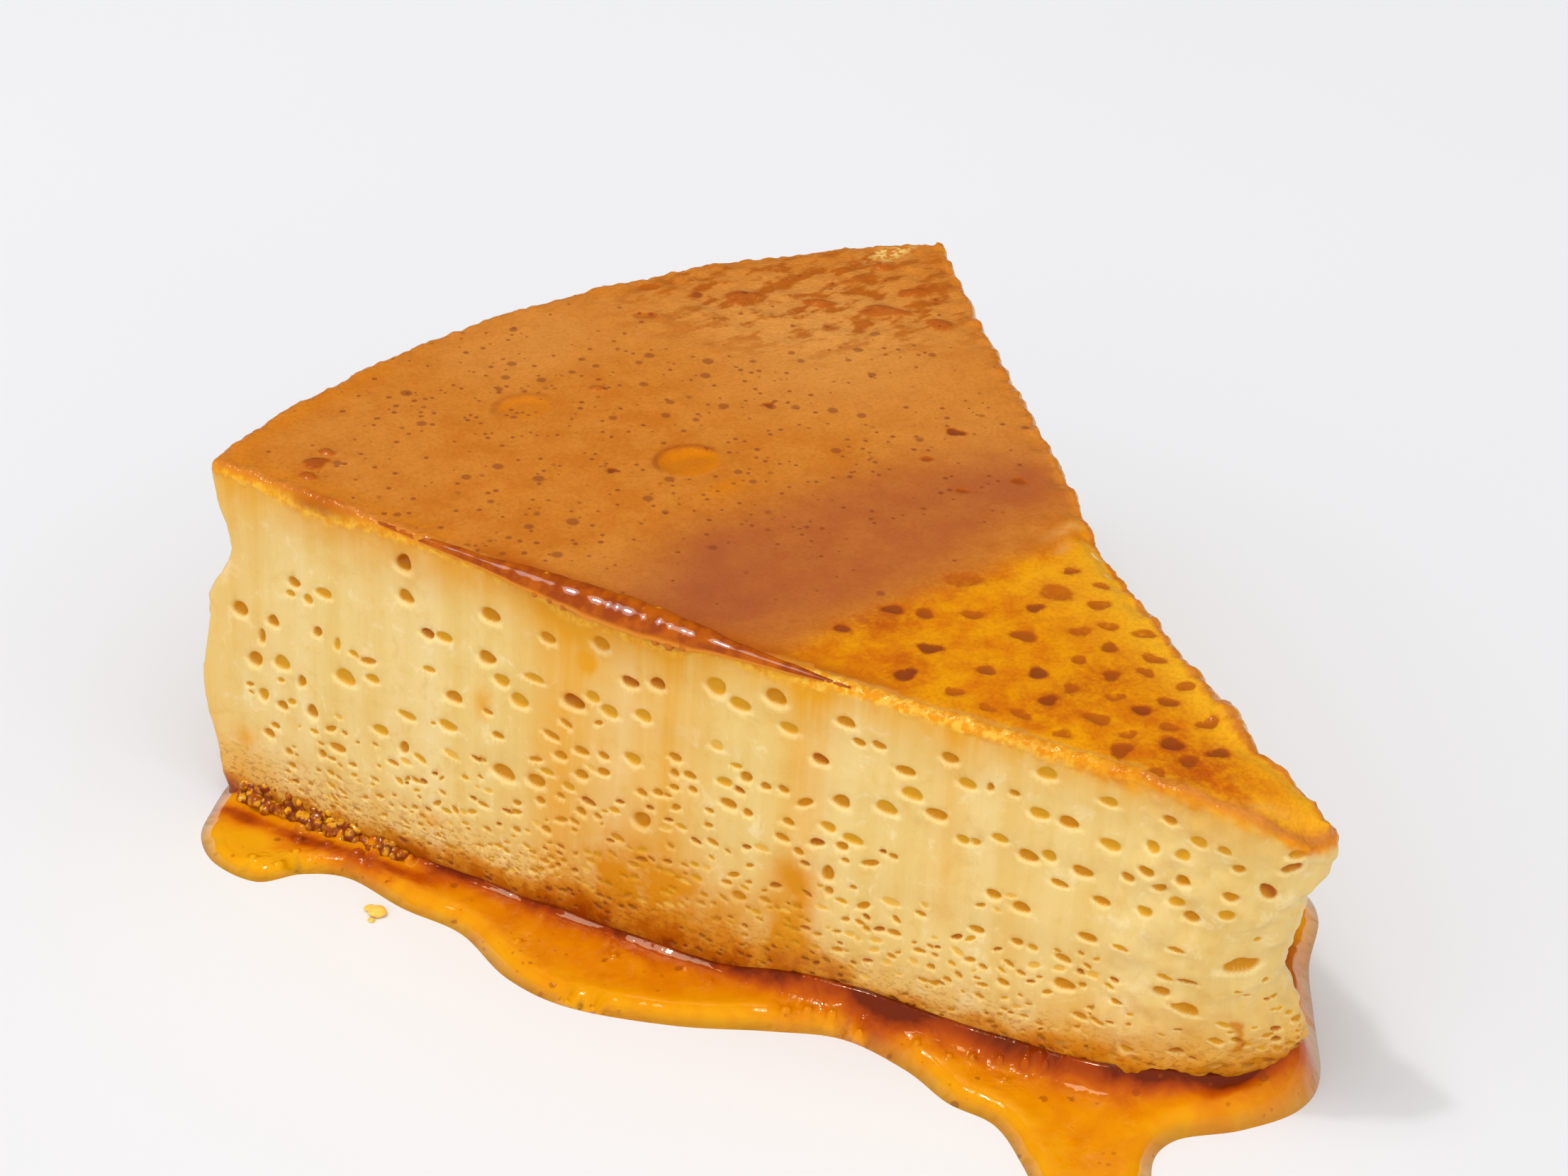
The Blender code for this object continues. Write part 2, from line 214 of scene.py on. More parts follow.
front_pits = [
    (82.4, 31.0, 1.7, 1.6, "r"), (82.2, 27.7, 1.8, 1.2, "b"), (73.1, 28.5, 1.9, 1.4, "b"), (73.4, 24.3, 1.8, 1.3, "b"),
    (79.8, 24.8, 1.4, 1.0, "r"), (78.0, 25.0, 1.7, 1.0, "o"), (94.8, 25.5, 1.4, 1.0, "b"), (95.2, 24.3, 1.0, 0.7, "o"),
    (93.2, 24.3, 1.1, 0.9, "o"), (91.4, 25.4, 1.8, 1.0, "o"), (101.2, 21.0, 1.9, 1.4, "b"), (97.3, 20.9, 1.2, 1.2, "b"),
    (98.6, 19.0, 0.8, 1.5, "b"), (99.6, 16.3, 1.7, 1.4, "b"), (96.4, 16.9, 1.9, 1.4, "o"), (89.0, 17.7, 2.4, 1.4, "o"),
    (94.1, 15.7, 0.9, 1.3, "b"), (85.9, 18.5, 1.5, 0.9, "o"), (92.2, 21.3, 1.0, 1.0, "b"), (89.9, 20.8, 0.7, 1.3, "o"),
    (88.0, 20.4, 1.1, 0.6, "o"), (76.9, 19.4, 1.8, 1.1, "b"), (77.5, 16.4, 2.2, 0.9, "o"), (82.0, 16.0, 2.0, 0.8, "o"),
    (69.9, 21.2, 1.8, 1.3, "o"), (71.8, 22.6, 1.8, 1.1, "o"), (68.4, 23.8, 2.1, 0.8, "o"), (72.1, 17.1, 1.2, 0.7, "b"),
    (71.5, 13.5, 2.6, 1.3, "b"), (85.1, 13.5, 1.8, 1.0, "o"), (82.5, 12.5, 1.1, 1.2, "b"), (93.0, 12.9, 1.3, 1.3, "b"),
    (96.5, 12.4, 1.3, 0.9, "b"), (98.7, 12.9, 1.2, 1.2, "o"), (90.1, 10.0, 1.8, 0.9, "b"), (91.9, 8.8, 0.9, 0.8, "b"),
    (98.2, 8.9, 1.2, 0.9, "b"), (95.9, 7.7, 0.8, 0.7, "b"), (95.6, 6.3, 0.9, 0.6, "b"), (67.1, 28.0, 1.6, 1.0, "b"),
    (61.7, 29.0, 1.7, 1.2, "b"), (58.7, 26.2, 1.7, 1.0, "r"), (56.0, 26.8, 1.6, 1.0, "r"), (50.3, 28.2, 2.0, 1.5, "o"),
    (48.0, 27.1, 2.0, 1.2, "o"), (44.7, 28.7, 2.1, 1.4, "b"), (43.3, 26.2, 1.7, 1.0, "o"), (38.1, 28.2, 1.7, 1.0, "b"),
    (36.8, 26.7, 1.2, 0.7, "b"), (35.0, 26.9, 1.3, 0.7, "b"), (32.5, 25.2, 1.9, 0.8, "b"), (40.2, 24.2, 1.6, 0.9, "r"),
    (31.7, 23.4, 2.0, 1.1, "o"), (33.9, 21.5, 2.0, 1.2, "o"), (38.0, 20.9, 1.7, 1.1, "b"), (64.3, 22.7, 2.1, 1.4, "r"),
    (62.3, 23.8, 1.5, 1.0, "o"), (60.6, 22.9, 1.8, 1.1, "o"), (57.2, 23.5, 1.7, 1.1, "o"), (49.9, 22.8, 1.3, 0.9, "p"),
    (47.0, 20.6, 1.2, 0.9, "b"), (45.1, 20.3, 1.0, 0.7, "b"), (43.4, 20.5, 1.0, 0.7, "b"), (48.5, 17.7, 1.6, 0.9, "b"),
    (46.6, 17.4, 1.0, 0.7, "b"), (42.7, 17.7, 1.1, 0.7, "b"), (39.0, 18.3, 1.4, 0.9, "o"), (36.7, 17.8, 2.0, 0.9, "o"),
    (37.6, 16.9, 1.1, 0.8, "b"), (43.2, 16.1, 1.4, 0.7, "b"), (41.6, 15.2, 1.0, 0.7, "b"), (38.8, 13.9, 1.2, 1.4, "b"),
    (38.6, 12.3, 0.9, 0.7, "b"), (58.1, 19.1, 1.6, 1.1, "o"), (52.4, 19.2, 1.3, 0.7, "b"), (53.9, 19.0, 0.9, 0.7, "b"),
    (52.0, 18.0, 0.9, 0.6, "b"), (63.3, 18.3, 1.5, 0.8, "b"), (61.0, 18.5, 1.1, 0.7, "b"), (65.4, 17.2, 1.4, 0.8, "b"),
    (63.2, 16.0, 1.4, 0.9, "b"), (57.0, 16.2, 1.1, 0.7, "b"), (55.4, 16.7, 1.0, 0.7, "b"), (68.0, 13.8, 1.9, 1.2, "b"),
    (64.5, 14.4, 1.2, 0.8, "o"), (57.0, 13.4, 1.7, 1.5, "b"), (63.2, 12.3, 1.0, 0.8, "b"), (67.5, 12.0, 1.0, 0.7, "b"),
    (66.8, 9.3, 1.0, 0.7, "b"), (47.1, 9.1, 1.3, 0.9, "b"), (28.7, 27.4, 1.5, 1.0, "b"), (20.3, 28.2, 1.8, 1.1, "o"),
    (14.9, 27.0, 1.5, 0.9, "o"), (27.0, 25.5, 1.7, 0.9, "o"), (25.0, 25.7, 0.7, 0.7, "b"), (22.9, 25.7, 0.9, 0.6, "b"),
    (20.6, 24.5, 1.7, 1.0, "o"), (18.1, 24.3, 1.7, 1.0, "b"), (14.4, 23.3, 1.8, 1.0, "o"), (29.4, 22.1, 2.0, 1.0, "b"),
    (23.7, 21.5, 1.5, 0.8, "o"), (26.9, 20.5, 1.2, 0.8, "o"), (25.8, 20.6, 0.9, 0.7, "o"), (21.2, 20.5, 1.8, 1.0, "b"),
    (19.4, 21.0, 1.3, 1.0, "o"), (16.5, 20.3, 1.8, 0.9, "b"), (18.3, 18.8, 1.6, 0.6, "b"), (14.6, 18.2, 1.6, 0.7, "b"),
    (23.8, 16.4, 1.4, 0.8, "b"), (21.3, 15.9, 1.6, 0.9, "b"), (15.4, 14.8, 1.6, 0.8, "b"), (21.4, 12.6, 1.0, 0.7, "b"),
    (20.0, 12.5, 0.9, 0.6, "o"), (17.1, 9.8, 1.9, 1.0, "b"), (22.3, 8.5, 1.1, 0.6, "b"), (15.5, 7.3, 1.2, 0.6, "b"),
]
pits = [pit(*wall_place(reach, height), *rest, tilt=0.12) for reach, height, *rest in front_pits]

# On the torn end: two under the lip, a recess, a wide crack half-way up and two below it, each as
# (distance round it from the back cut, up, width, height, kind, tilt), and a loose belt of bubbles.
torn_pits = [
    (13.5, 31.5, 1.5, 0.9, "b", 0.0), (13.5, 29.5, 1.9, 1.0, "r", 0.0), (14.5, 26.0, 1.7, 1.1, "r", 0.7),
    (13.5, 16.5, 3.3, 1.4, "b", -0.05), (20.0, 12.5, 1.5, 0.9, "b", 0.1), (18.0, 11.0, 2.6, 1.0, "b", 0.35),
]
torn_dice = np.random.default_rng(3)
for _ in range(600):
    far, up = torn_dice.uniform(16, 24.5), torn_dice.uniform(20, 30.2)
    if len(torn_pits) < 21 and all(math.hypot(far - other[0], up - other[1]) > 1.6 for other in torn_pits):
        wide = torn_dice.uniform(1.1, 1.5)
        torn_pits.append((far, up, wide, 0.65 * wide, torn_dice.choice(["b", "b", "o"]), 0.1))
pits += [pit(rim_end + 96 + far, up, wide, tall, kind, tilt) for far, up, wide, tall, kind, tilt in torn_pits]

# Fine pits, thickest low on the cut and in a few clusters between: (reach, height, spread, how many).
clusters = [
    (60, 15, 9, 5, 26), (46, 15, 7, 4, 18), (33, 12, 9, 4, 22), (22, 9, 8, 4, 22), (70, 9, 12, 4, 34), (90, 10, 8, 4, 16),
    (52, 9, 12, 3, 46), (36, 8, 10, 3, 34), (15, 10, 5, 4, 14), (80, 15, 8, 4, 14), (96, 15, 4, 5, 10),
]
fine_pits = []
for reach, height, wide, tall, count in clusters:
    for _ in range(count):
        fine_pits.append((reach + wide * pit_dice.normal() * 0.7, height + tall * pit_dice.normal() * 0.7))
for _ in range(430):
    fine_pits.append((pit_dice.uniform(12, 98), 1.8 + abs(pit_dice.normal()) * 6.0))
taken = [(p["u"], p["w"], p["a"]) for p in pits]
for reach, height in fine_pits:
    if not (12 < reach < 102 and 1.6 < height < 25):
        continue
    size = pit_dice.uniform(0.35, 0.75) * (0.62 + 0.045 * height)
    u, w = wall_place(reach, height)
    if all(math.hypot(u - x, w - y) > (size + r * 2) * 0.62 for x, y, r in taken):
        kind = pit_dice.choice(["r", "b", "b", "b", "o", "p"])
        pits.append(pit(u, w, size * pit_dice.uniform(1.1, 1.9), size * 0.75, kind, pit_dice.normal() * 0.25))
        taken.append((u, w, size / 2))
for _ in range(90):
    u, w = back_end + pit_dice.uniform(6, 24.5), 1.8 + abs(pit_dice.normal()) * 6.5
    size = pit_dice.uniform(0.35, 0.8)
    if all(math.hypot(u - x, w - y) > (size + r * 2) * 0.7 for x, y, r in taken):
        pits.append(pit(u, w, size * pit_dice.uniform(1.2, 2.2), size * 0.7, pit_dice.choice(["r", "b", "b", "o"]), 0.15))
        taken.append((u, w, size / 2))
for _ in range(120):
    reach, height = pit_dice.uniform(16, 98), 3 + 24 * pit_dice.uniform() ** 1.3
    size = pit_dice.uniform(0.6, 1.7)
    u, w = wall_place(reach, height, back=True)
    if all(math.hypot(u - x, w - y) > (size + r * 2) * 0.6 for x, y, r in taken):
        pits.append(pit(u, w, size * 1.25, size * 0.8, pit_dice.choice(["r", "b", "b", "o"])))
        taken.append((u, w, size / 2))


def in_pit(p, u, w):
    """How far out from a pit's middle, where 1 is its lip, and how far up inside it."""
    c, s = math.cos(p["tilt"]), math.sin(p["tilt"])
    along, up = p["grid"] @ np.stack([u - p["u"], w - p["w"]])
    x, y = (along * c + up * s) / p["a"], (up * c - along * s) / p["b"]
    angle = np.arctan2(y, x)
    k = p["lobes"]
    lip = 1 + k[0] * np.cos(2 * angle) + k[1] * np.sin(2 * angle) + k[2] * np.cos(3 * angle) + k[3] * np.sin(3 * angle)
    return np.hypot(x, y) / lip, y


def pit_rings(p, rings, fine=0.3):
    """Points on rings round and inside a pit, so that the mesh has its lip exactly."""
    count = int(np.clip(2 * math.pi * (p["a"] + p["b"]) / 2 / fine, 7, 26))
    points = []
    for out in rings:
        angle = (np.arange(count) + 0.5 * (len(points) % 2)) * 2 * math.pi / count
        k = p["lobes"]
        lip = 1 + k[0] * np.cos(2 * angle) + k[1] * np.sin(2 * angle) + k[2] * np.cos(3 * angle) + k[3] * np.sin(3 * angle)
        x, y = np.cos(angle) * lip * out * p["a"], np.sin(angle) * lip * out * p["b"]
        c, s = math.cos(p["tilt"]), math.sin(p["tilt"])
        across, up = np.linalg.inv(p["grid"]) @ np.stack([x * c - y * s, x * s + y * c])
        points.append(np.stack([p["u"] + across, p["w"] + up], 1))
    points.append(np.array([[p["u"], p["w"]]]))
    return np.vstack(points)


# ---------------------------------------------------------------------------------------------
# The custard's mesh: one closed skin. The wall is meshed flat, round its length and up its
# height, with rings of points at every pit, then wrapped on the form; the top is meshed in plan.
# ---------------------------------------------------------------------------------------------
mesh_dice = np.random.default_rng(5)


def scatter(low, high, gap):
    """A jittered triangular grid of points over a rectangle."""
    xs = np.arange(low[0] + gap / 2, high[0] - gap / 3, gap)
    ys = np.arange(low[1] + gap / 2, high[1] - gap / 3, gap * 0.866)
    x, y = np.meshgrid(xs, ys)
    x = x + (np.arange(len(ys)) % 2)[:, None] * gap / 2
    points = np.stack([x.ravel(), y.ravel()], 1) + mesh_dice.uniform(-0.12, 0.12, (x.size, 2)) * gap
    return points[(points[:, 0] < high[0] - gap / 3)]


wall_seam = np.linspace(0, wall_top, 67)
foot_us = np.arange(0, wall_length, 0.6)[1:]
edge_us = np.arange(0, wall_length, 0.42)[1:-1]
wall_points = [
    np.stack([np.zeros(67), wall_seam], 1), np.stack([np.full(67, wall_length), wall_seam], 1),
    np.stack([foot_us, np.zeros(len(foot_us))], 1), np.stack([edge_us, np.full(len(edge_us), wall_top)], 1),
]
fixed_count = sum(len(part) for part in wall_points)
for low, high, gap in ((0, front_end, 0.52), (front_end, rim_end, 0.85), (rim_end, back_end, 0.75), (back_end, wall_length, 0.42)):
    wall_points.append(scatter((low, 0.2), (high, 31.4), gap))
    wall_points.append(scatter((low, 31.4), (high, wall_top), min(gap, 0.36)))
wall_points = np.vstack(wall_points)
keep = np.ones(len(wall_points), bool)
for p in pits:
    near = np.abs(wall_points[:, 0] - p["u"]) < p["a"] * 3 + 0.3
    out, _ = in_pit(p, wall_points[near, 0], wall_points[near, 1])
    keep[np.flatnonzero(near)[out < 1.5]] = False
keep[:fixed_count] = True
wall_points = wall_points[keep]
ring_sets = []
for index, p in enumerate(pits):
    big = p["a"] > 0.45
    points = pit_rings(p, (1.34, 1.08, 0.97, 0.86, 0.6, 0.3) if big else (1.3, 1.02, 0.8, 0.4), 0.26)
    for q in pits:
        if q is not p and abs(q["u"] - p["u"]) < 3.5 and abs(q["w"] - p["w"]) < 2.5:
            out, _ = in_pit(q, points[:, 0], points[:, 1])
            points = points[out > (1.45 if q["a"] > p["a"] else 1.1)]
    ring_sets.append(points)
wall_points = np.vstack([wall_points] + ring_sets)
inside = (wall_points[:, 1] >= 0) & (wall_points[:, 1] <= wall_top) & (wall_points[:, 0] >= 0) & (wall_points[:, 0] <= wall_length)
wall_points = wall_points[inside]


def inside_loop(points, loop):
    hit = np.zeros(len(points), bool)
    for (ax, ay), (bx, by) in zip(loop, np.roll(loop, -1, 0)):
        crosses = (ay > points[:, 1]) != (by > points[:, 1])
        with np.errstate(divide="ignore", invalid="ignore"):
            at_x = (bx - ax) * (points[:, 1] - ay) / (by - ay) + ax
        hit ^= crosses & (points[:, 0] < at_x)
    return hit


def from_loop(points, loop):
    """Distance of plan points from a closed loop."""
    best = np.full(len(points), 1e9)
    for a, b in zip(loop, np.roll(loop, -1, 0)):
        side = b - a
        t = np.clip(((points - a) @ side) / max(side @ side, 1e-12), 0, 1)
        best = np.minimum(best, ((points - a - t[:, None] * side) ** 2).sum(1))
    return np.sqrt(best)


def triangles(points, border=None):
    """Delaunay triangles of plan points, kept inside the border, a loop of their indices."""
    made = delaunay_2d_cdt([Vector(p) for p in points], [], [border] if border else [], 0, 1e-6, True)
    source = [ids[0] if ids else int(np.argmin(((points - np.array(v)) ** 2).sum(1))) for v, ids in zip(made[0], made[3])]
    faces = [[source[i] for i in face] for face in made[2]]
    flat = []
    for a, b, c in faces:
        (ax, ay), (bx, by), (cx, cy) = points[a], points[b], points[c]
        turned = (bx - ax) * (cy - ay) - (by - ay) * (cx - ax)
        if abs(turned) > 1e-9:
            flat.append((a, b, c) if turned > 0 else (a, c, b))
    if border:
        middles = np.array([(points[a] + points[b] + points[c]) / 3 for a, b, c in flat])
        flat = [face for face, held in zip(flat, inside_loop(middles, points[border])) if held]
    return flat


wall_faces = triangles(wall_points)
on_seam = wall_points[:, 0] > wall_length - 1e-6
seam_twin = {round(w, 5): i for i, (u, w) in enumerate(wall_points) if u < 1e-6}
wall_index = np.array([seam_twin[round(w, 5)] if late else i for i, ((u, w), late) in enumerate(zip(wall_points, on_seam))])

u, w = wall_points[:, 0], wall_points[:, 1]
skin = on_wall(u, w)
outward = wall_normal(u, w)


def ripple(points, size, seed=0.0, octaves=2):
    """Smooth noise from -1 to 1 at each point, with bumps about size mm wide."""
    shift = Vector((seed * 7.3, seed * 3.1, seed * 5.7))
    return np.array([noise.fractal(Vector(p) / size + shift, 1.0, 2.0, octaves) for p in points])


depth, pit_tone, pit_mask, pit_rise, painted_lip_highlight = (np.zeros(len(u)) for _ in range(5))
for p in pits:
    near = np.flatnonzero((np.abs(u - p["u"]) < p["a"] * 3.4) & (np.abs(w - p["w"]) < p["b"] * 3.2))
    out, rise = in_pit(p, u[near], w[near])
    bowl = np.where(out < 1, 0.16 + 0.84 * (1 - np.clip(out, 0, 1) ** 3.2), 0.16 * (1 - smooth((out - 1) / 0.34)))
    deeper = bowl * p["depth"] > depth[near]
    depth[near[deeper]] = (bowl * p["depth"])[deeper]
    mask = 1 - smooth((out - 0.84) / 0.26)
    stronger = mask > pit_mask[near]
    at = near[stronger]
    pit_mask[at], pit_tone[at], pit_rise[at] = mask[stronger], p["tone"], rise[stronger]
    # Painted highlight: a pale lip under each pit's lower rim, where the rounded edge would catch the light.
    lip_highlight = smooth((1.75 - out) / 0.5) * smooth((0.1 - rise) / 0.9) * min(1.0, p["a"] / 0.5)
    painted_lip_highlight[near] = np.maximum(painted_lip_highlight[near], lip_highlight)

cut_mask = np.where((u < front_end) | ((u > rim_end) & (u < back_end)), 1.0, 0.0)
torn_mask = smooth((u - back_end) / 1.5) * smooth((wall_length - u) / 1.0) * (u > back_end)
edge_near = smooth((w - (wall_top - 2.4)) / 1.8)
relief = 0.09 * ripple(skin, 7.0, 1) + 0.03 * ripple(skin, 1.6, 2)
relief += torn_mask * (0.42 * ripple(skin, 3.2, 3, 3) + 0.2 * ripple(skin, 1.3, 4, 3))
mould_side = ((u >= front_end) & (u <= rim_end)).astype(float)
relief += mould_side * (0.22 * ripple(skin, 5.0, 5) + 0.07 * ripple(skin, 1.3, 6))
calm = mould_side * smooth((12 - skin[:, 0]) / 8)
relief += edge_near * (1 - 0.75 * calm) * (0.2 * ripple(skin, 1.5, 7) + 0.12 * ripple(skin, 0.7, 8))
reach = np.linalg.norm(skin[:, :2] - cut_centre, axis=1)
back_cut = ((u > rim_end) & (u < back_end)).astype(float) * smooth((w - 10) / 14)
relief += back_cut * (0.8 * np.exp(-(((reach - 15) / 7) ** 2)) - 0.95 * np.exp(-(((reach - 41) / 9) ** 2)))
relief += back_cut * edge_near * 0.35 * ripple(skin, 3.0, 10, 3)
skin_rise = edge_near * 0.14 * ripple(skin, 1.1, 9)
depth *= 1 - smooth((w - (wall_top - 1.0)) / 0.8)
# The torn end: a nick under its lip, and a foot that curls up off the table.
high = smooth((w - 24) / 6)
relief -= high * 1.1 * np.exp(-(((u - back_end - 3.2) / 2.2) ** 2))
relief += high * 0.25 * np.exp(-(((u - back_end - 7.0) / 1.5) ** 2))
relief -= high * 0.6 * np.exp(-(((u - back_end - 11.5) / 2.2) ** 2))
relief -= 1.6 * np.exp(-((w / 1.6) ** 2)) * np.exp(-(((u - back_end - 14.0) / 6.0) ** 2))
wall_skin = skin + outward * (relief - depth)[:, None]
wall_skin[:, 2] += skin_rise
wall_skin[:, 2] = np.maximum(wall_skin[:, 2], foot_height)

# The top's outline is the wall's last row, in order round the slice.
edge = [i for i in np.argsort(u) if w[i] > wall_top - 1e-6 and not on_seam[i]]
edge_plan = wall_skin[edge, :2]


# ---------------------------------------------------------------------------------------------
# The top. It was the mould's caramel-coated base: glazed and tan, stained darker where the syrup
# lay thick, bright orange and wet towards the tip, and pocked with bubbles caught under the glaze.
# ---------------------------------------------------------------------------------------------
# Stained bubbles under the wet glaze: (x, y, width, length, darkness, bump).
glaze_spots = [
    (-6.7, -18.8, 2.0, 1.6, 0.8, 0.1), (-4.8, -20.8, 1.9, 1.5, 0.7, 0.1), (-12.3, -18.8, 1.6, 1.3, 0.8, 0.1),
    (1.5, -18.5, 3.5, 2.5, 0.35, 0.1), (-8.0, -25.3, 2.2, 1.6, 0.9, 0.1), (-1.5, -23.2, 1.8, 1.5, 0.6, 0.1),
    (3.8, -25.3, 1.6, 1.4, 0.8, 0.1), (7.0, -24.5, 3.5, 2.5, 0.4, 0.1), (-12.3, -27.3, 2.4, 1.6, 0.9, 0.1),
    (0.0, -28.2, 2.2, 1.8, 0.7, 0.1), (8.8, -28.0, 2.0, 1.6, 0.6, 0.1), (-6.2, -30.5, 1.6, 1.6, 0.7, 0.15),
    (-10.5, -31.5, 1.7, 1.3, 0.6, 0.1), (-2.8, -33.2, 1.9, 1.6, 0.9, 0.1), (5.0, -33.5, 1.7, 1.4, 0.7, 0.1),
    (1.5, -33.5, 1.5, 1.2, 0.6, 0.1), (-8.0, -37.0, 1.8, 1.4, 0.5, 0.1), (-4.8, -36.7, 1.9, 1.5, 0.8, 0.1),
    (-2.0, -36.5, 1.6, 1.3, 0.6, 0.1), (2.2, -36.8, 1.8, 1.5, 0.7, 0.1), (5.0, -38.0, 1.6, 1.3, 0.6, 0.1),
    (-3.2, -41.0, 2.2, 1.7, 0.6, 0.15), (0.8, -42.0, 1.8, 1.5, 0.8, 0.15), (3.5, -42.3, 1.8, 1.4, 0.7, 0.15),
    (-7.0, -41.0, 1.5, 1.3, 0.5, 0.1), (-4.5, -45.3, 2.2, 1.8, 0.7, 0.2), (-0.5, -47.0, 2.3, 1.8, 0.8, 0.2),
    (-4.5, -49.3, 1.8, 1.6, 0.6, 0.2), (-1.0, -49.5, 2.0, 1.6, 0.7, 0.2), (1.8, -50.0, 1.8, 1.6, 0.8, 0.2),
    (10.5, -22.5, 1.4, 1.1, 0.7, 0.1), (11.2, -25.8, 1.4, 1.1, 0.6, 0.1), (7.2, -31.0, 1.8, 1.3, 0.5, 0.1),
    (4.6, -30.2, 2.0, 1.5, 0.5, 0.1), (9.0, -33.5, 2.2, 1.4, 0.5, 0.1), (7.0, -36.8, 2.0, 1.5, 0.6, 0.1),
    (-9.8, -34.8, 1.5, 1.2, 0.5, 0.1), (0.2, -39.4, 1.7, 1.3, 0.5, 0.1), (6.2, -41.5, 1.6, 1.3, 0.6, 0.1),
    (1.0, -45.0, 1.7, 1.3, 0.5, 0.15), (4.0, -46.5, 1.8, 1.5, 0.6, 0.2), (-2.6, -44.0, 1.5, 1.2, 0.5, 0.15),
    (-13.5, 13.5, 1.0, 0.9, 0.9, 0.1), (6.2, 15.8, 1.1, 0.9, 0.8, 0.1), (18.0, 2.2, 1.8, 1.4, 0.9, 0.1),
    (12.5, -0.2, 1.2, 1.0, 0.7, 0.1), (11.5, -6.5, 1.3, 1.0, 0.7, 0.1), (17.0, -8.0, 1.6, 1.2, 0.7, 0.1),
    (-5.8, 27.0, 1.3, 0.9, 0.35, 0.25), (-35.5, 28.8, 2.6, 1.7, 0.7, 0.45), (-37.2, 27.2, 1.8, 1.3, 0.6, 0.35),
    (-33.6, 30.0, 1.6, 1.1, 0.6, 0.3), (17.5, 35.0, 4.0, 2.6, 0.6, 0.35), (28.0, 25.0, 4.6, 2.6, 0.6, 0.35),
    (33.0, 27.0, 2.8, 1.8, 0.6, 0.3), (31.0, 20.0, 3.0, 2.2, 0.6, 0.3), (7.0, 37.0, 2.2, 1.5, 0.5, 0.2),
    (11.0, 42.0, 2.4, 1.5, 0.5, 0.2), (23.5, 30.0, 3.4, 2.0, 0.5, 0.3), (34.5, 33.0, 2.6, 1.8, 0.5, 0.3),
]
spot_dice = np.random.default_rng(23)
spots = []
for x, y, wide, tall, dark, bump in glaze_spots:
    spots.append(dict(
        u=x, w=y, a=wide / 2, b=tall / 2, tilt=-0.6 + 0.3 * spot_dice.normal(), tone=dark, depth=bump,
        lobes=spot_dice.uniform(-1, 1, 4) * 0.16, grid=np.eye(2),
    ))

top_plan = scatter((-48.0, -70.0), (48.0, 50.0), 0.62)
for low, high in (((-12.0, 6.5), (-1.0, 16.5)), ((-18.5, 24.0), (-9.0, 32.5))):
    held = np.all((top_plan > low) & (top_plan < high), axis=1)
    top_plan = np.vstack([top_plan[~held], scatter(low, high, 0.34)])
top_plan = top_plan[inside_loop(top_plan, edge_plan)]
keep = from_loop(top_plan, edge_plan) > 0.38
for p in spots:
    out, _ = in_pit(p, top_plan[:, 0], top_plan[:, 1])
    keep &= out > 1.35
ring_sets = []
for p in spots:
    points = pit_rings(p, (1.18, 1.0, 0.82, 0.45), 0.4)
    for q in spots:
        if q is not p:
            out, _ = in_pit(q, points[:, 0], points[:, 1])
            points = points[out > 1.2] if len(points) else points
    ring_sets.append(points)
top_plan = np.vstack([top_plan[keep]] + ring_sets)
top_plan = top_plan[inside_loop(top_plan, edge_plan)]
top_plan = top_plan[from_loop(top_plan, edge_plan) > 0.3]

wall_count = len(wall_points)
all_plan = np.vstack([edge_plan, top_plan])
top_global = np.array(edge + list(range(wall_count, wall_count + len(top_plan))))
top_faces = triangles(all_plan, list(range(len(edge))))

x, y = top_plan[:, 0], top_plan[:, 1]
from_edge = from_loop(top_plan, edge_plan)
top_z = top_height(y)
flat_xyz = np.stack([x, y, np.zeros(len(x))], 1)
settle = smooth(from_edge / 2.0)


def blob(cx, cy, rx, ry, turn=0.0):
    """A soft-edged patch on the top: 1 at its middle, 0 beyond its rim."""
    c, s = math.cos(turn), math.sin(turn)
    px, py = (x - cx) * c + (y - cy) * s, -(x - cx) * s + (y - cy) * c
    return 1 - smooth(np.hypot(px / rx, py / ry))


# Two thumb-like dimples with a steep far side, a blister, and rough blotchy caramel by the far corner.
lens_out = np.hypot(x + 6.5, (y - 11.2) * 1.12) / 3.2
faint_out = np.hypot(x + 13.6, (y - 27.8) * 1.25) / 3.0
top_z -= 0.55 * (1 - smooth((lens_out - 0.55) / 0.5)) * smooth((y - 8.6) / 4.5)
top_z -= 0.4 * (1 - smooth((faint_out - 0.5) / 0.55)) * smooth((y - 25.6) / 4.5)
rough_zone = np.clip(blob(25, 32, 30, 20, -0.55) * 1.6 + 0.35 * blob(-36, 28, 9, 6) + 0.5 * blob(0, -47, 9, 9), 0, 1)
top_z += settle * (0.12 * ripple(flat_xyz, 14, 11) + 0.05 * ripple(flat_xyz, 4, 12))
top_z += (0.1 + 0.9 * settle) * rough_zone * (0.22 * ripple(flat_xyz, 2.6, 13, 3) + 0.1 * ripple(flat_xyz, 1.1, 14))
nearest = np.array([np.argmin(((edge_plan - p) ** 2).sum(1)) for p in top_plan])
edge_rise = wall_skin[edge, 2] - top_height(edge_plan[:, 1])
top_z += edge_rise[nearest] * np.exp(-((from_edge / 1.1) ** 2))
spot_mask, spot_ring = np.zeros(len(x)), np.zeros(len(x))
for p in spots:
    out, _ = in_pit(p, x, y)
    spot_mask = np.maximum(spot_mask, p["tone"] * (1 - smooth((out - 0.78) / 0.45)))
    spot_ring = np.maximum(spot_ring, p["tone"] * np.exp(-((out - 1.0) / 0.2) ** 2))
    top_z += p["depth"] * (1 - smooth((out - 0.4) / 0.8)) * (1 if p["depth"] > 0.2 else -1)

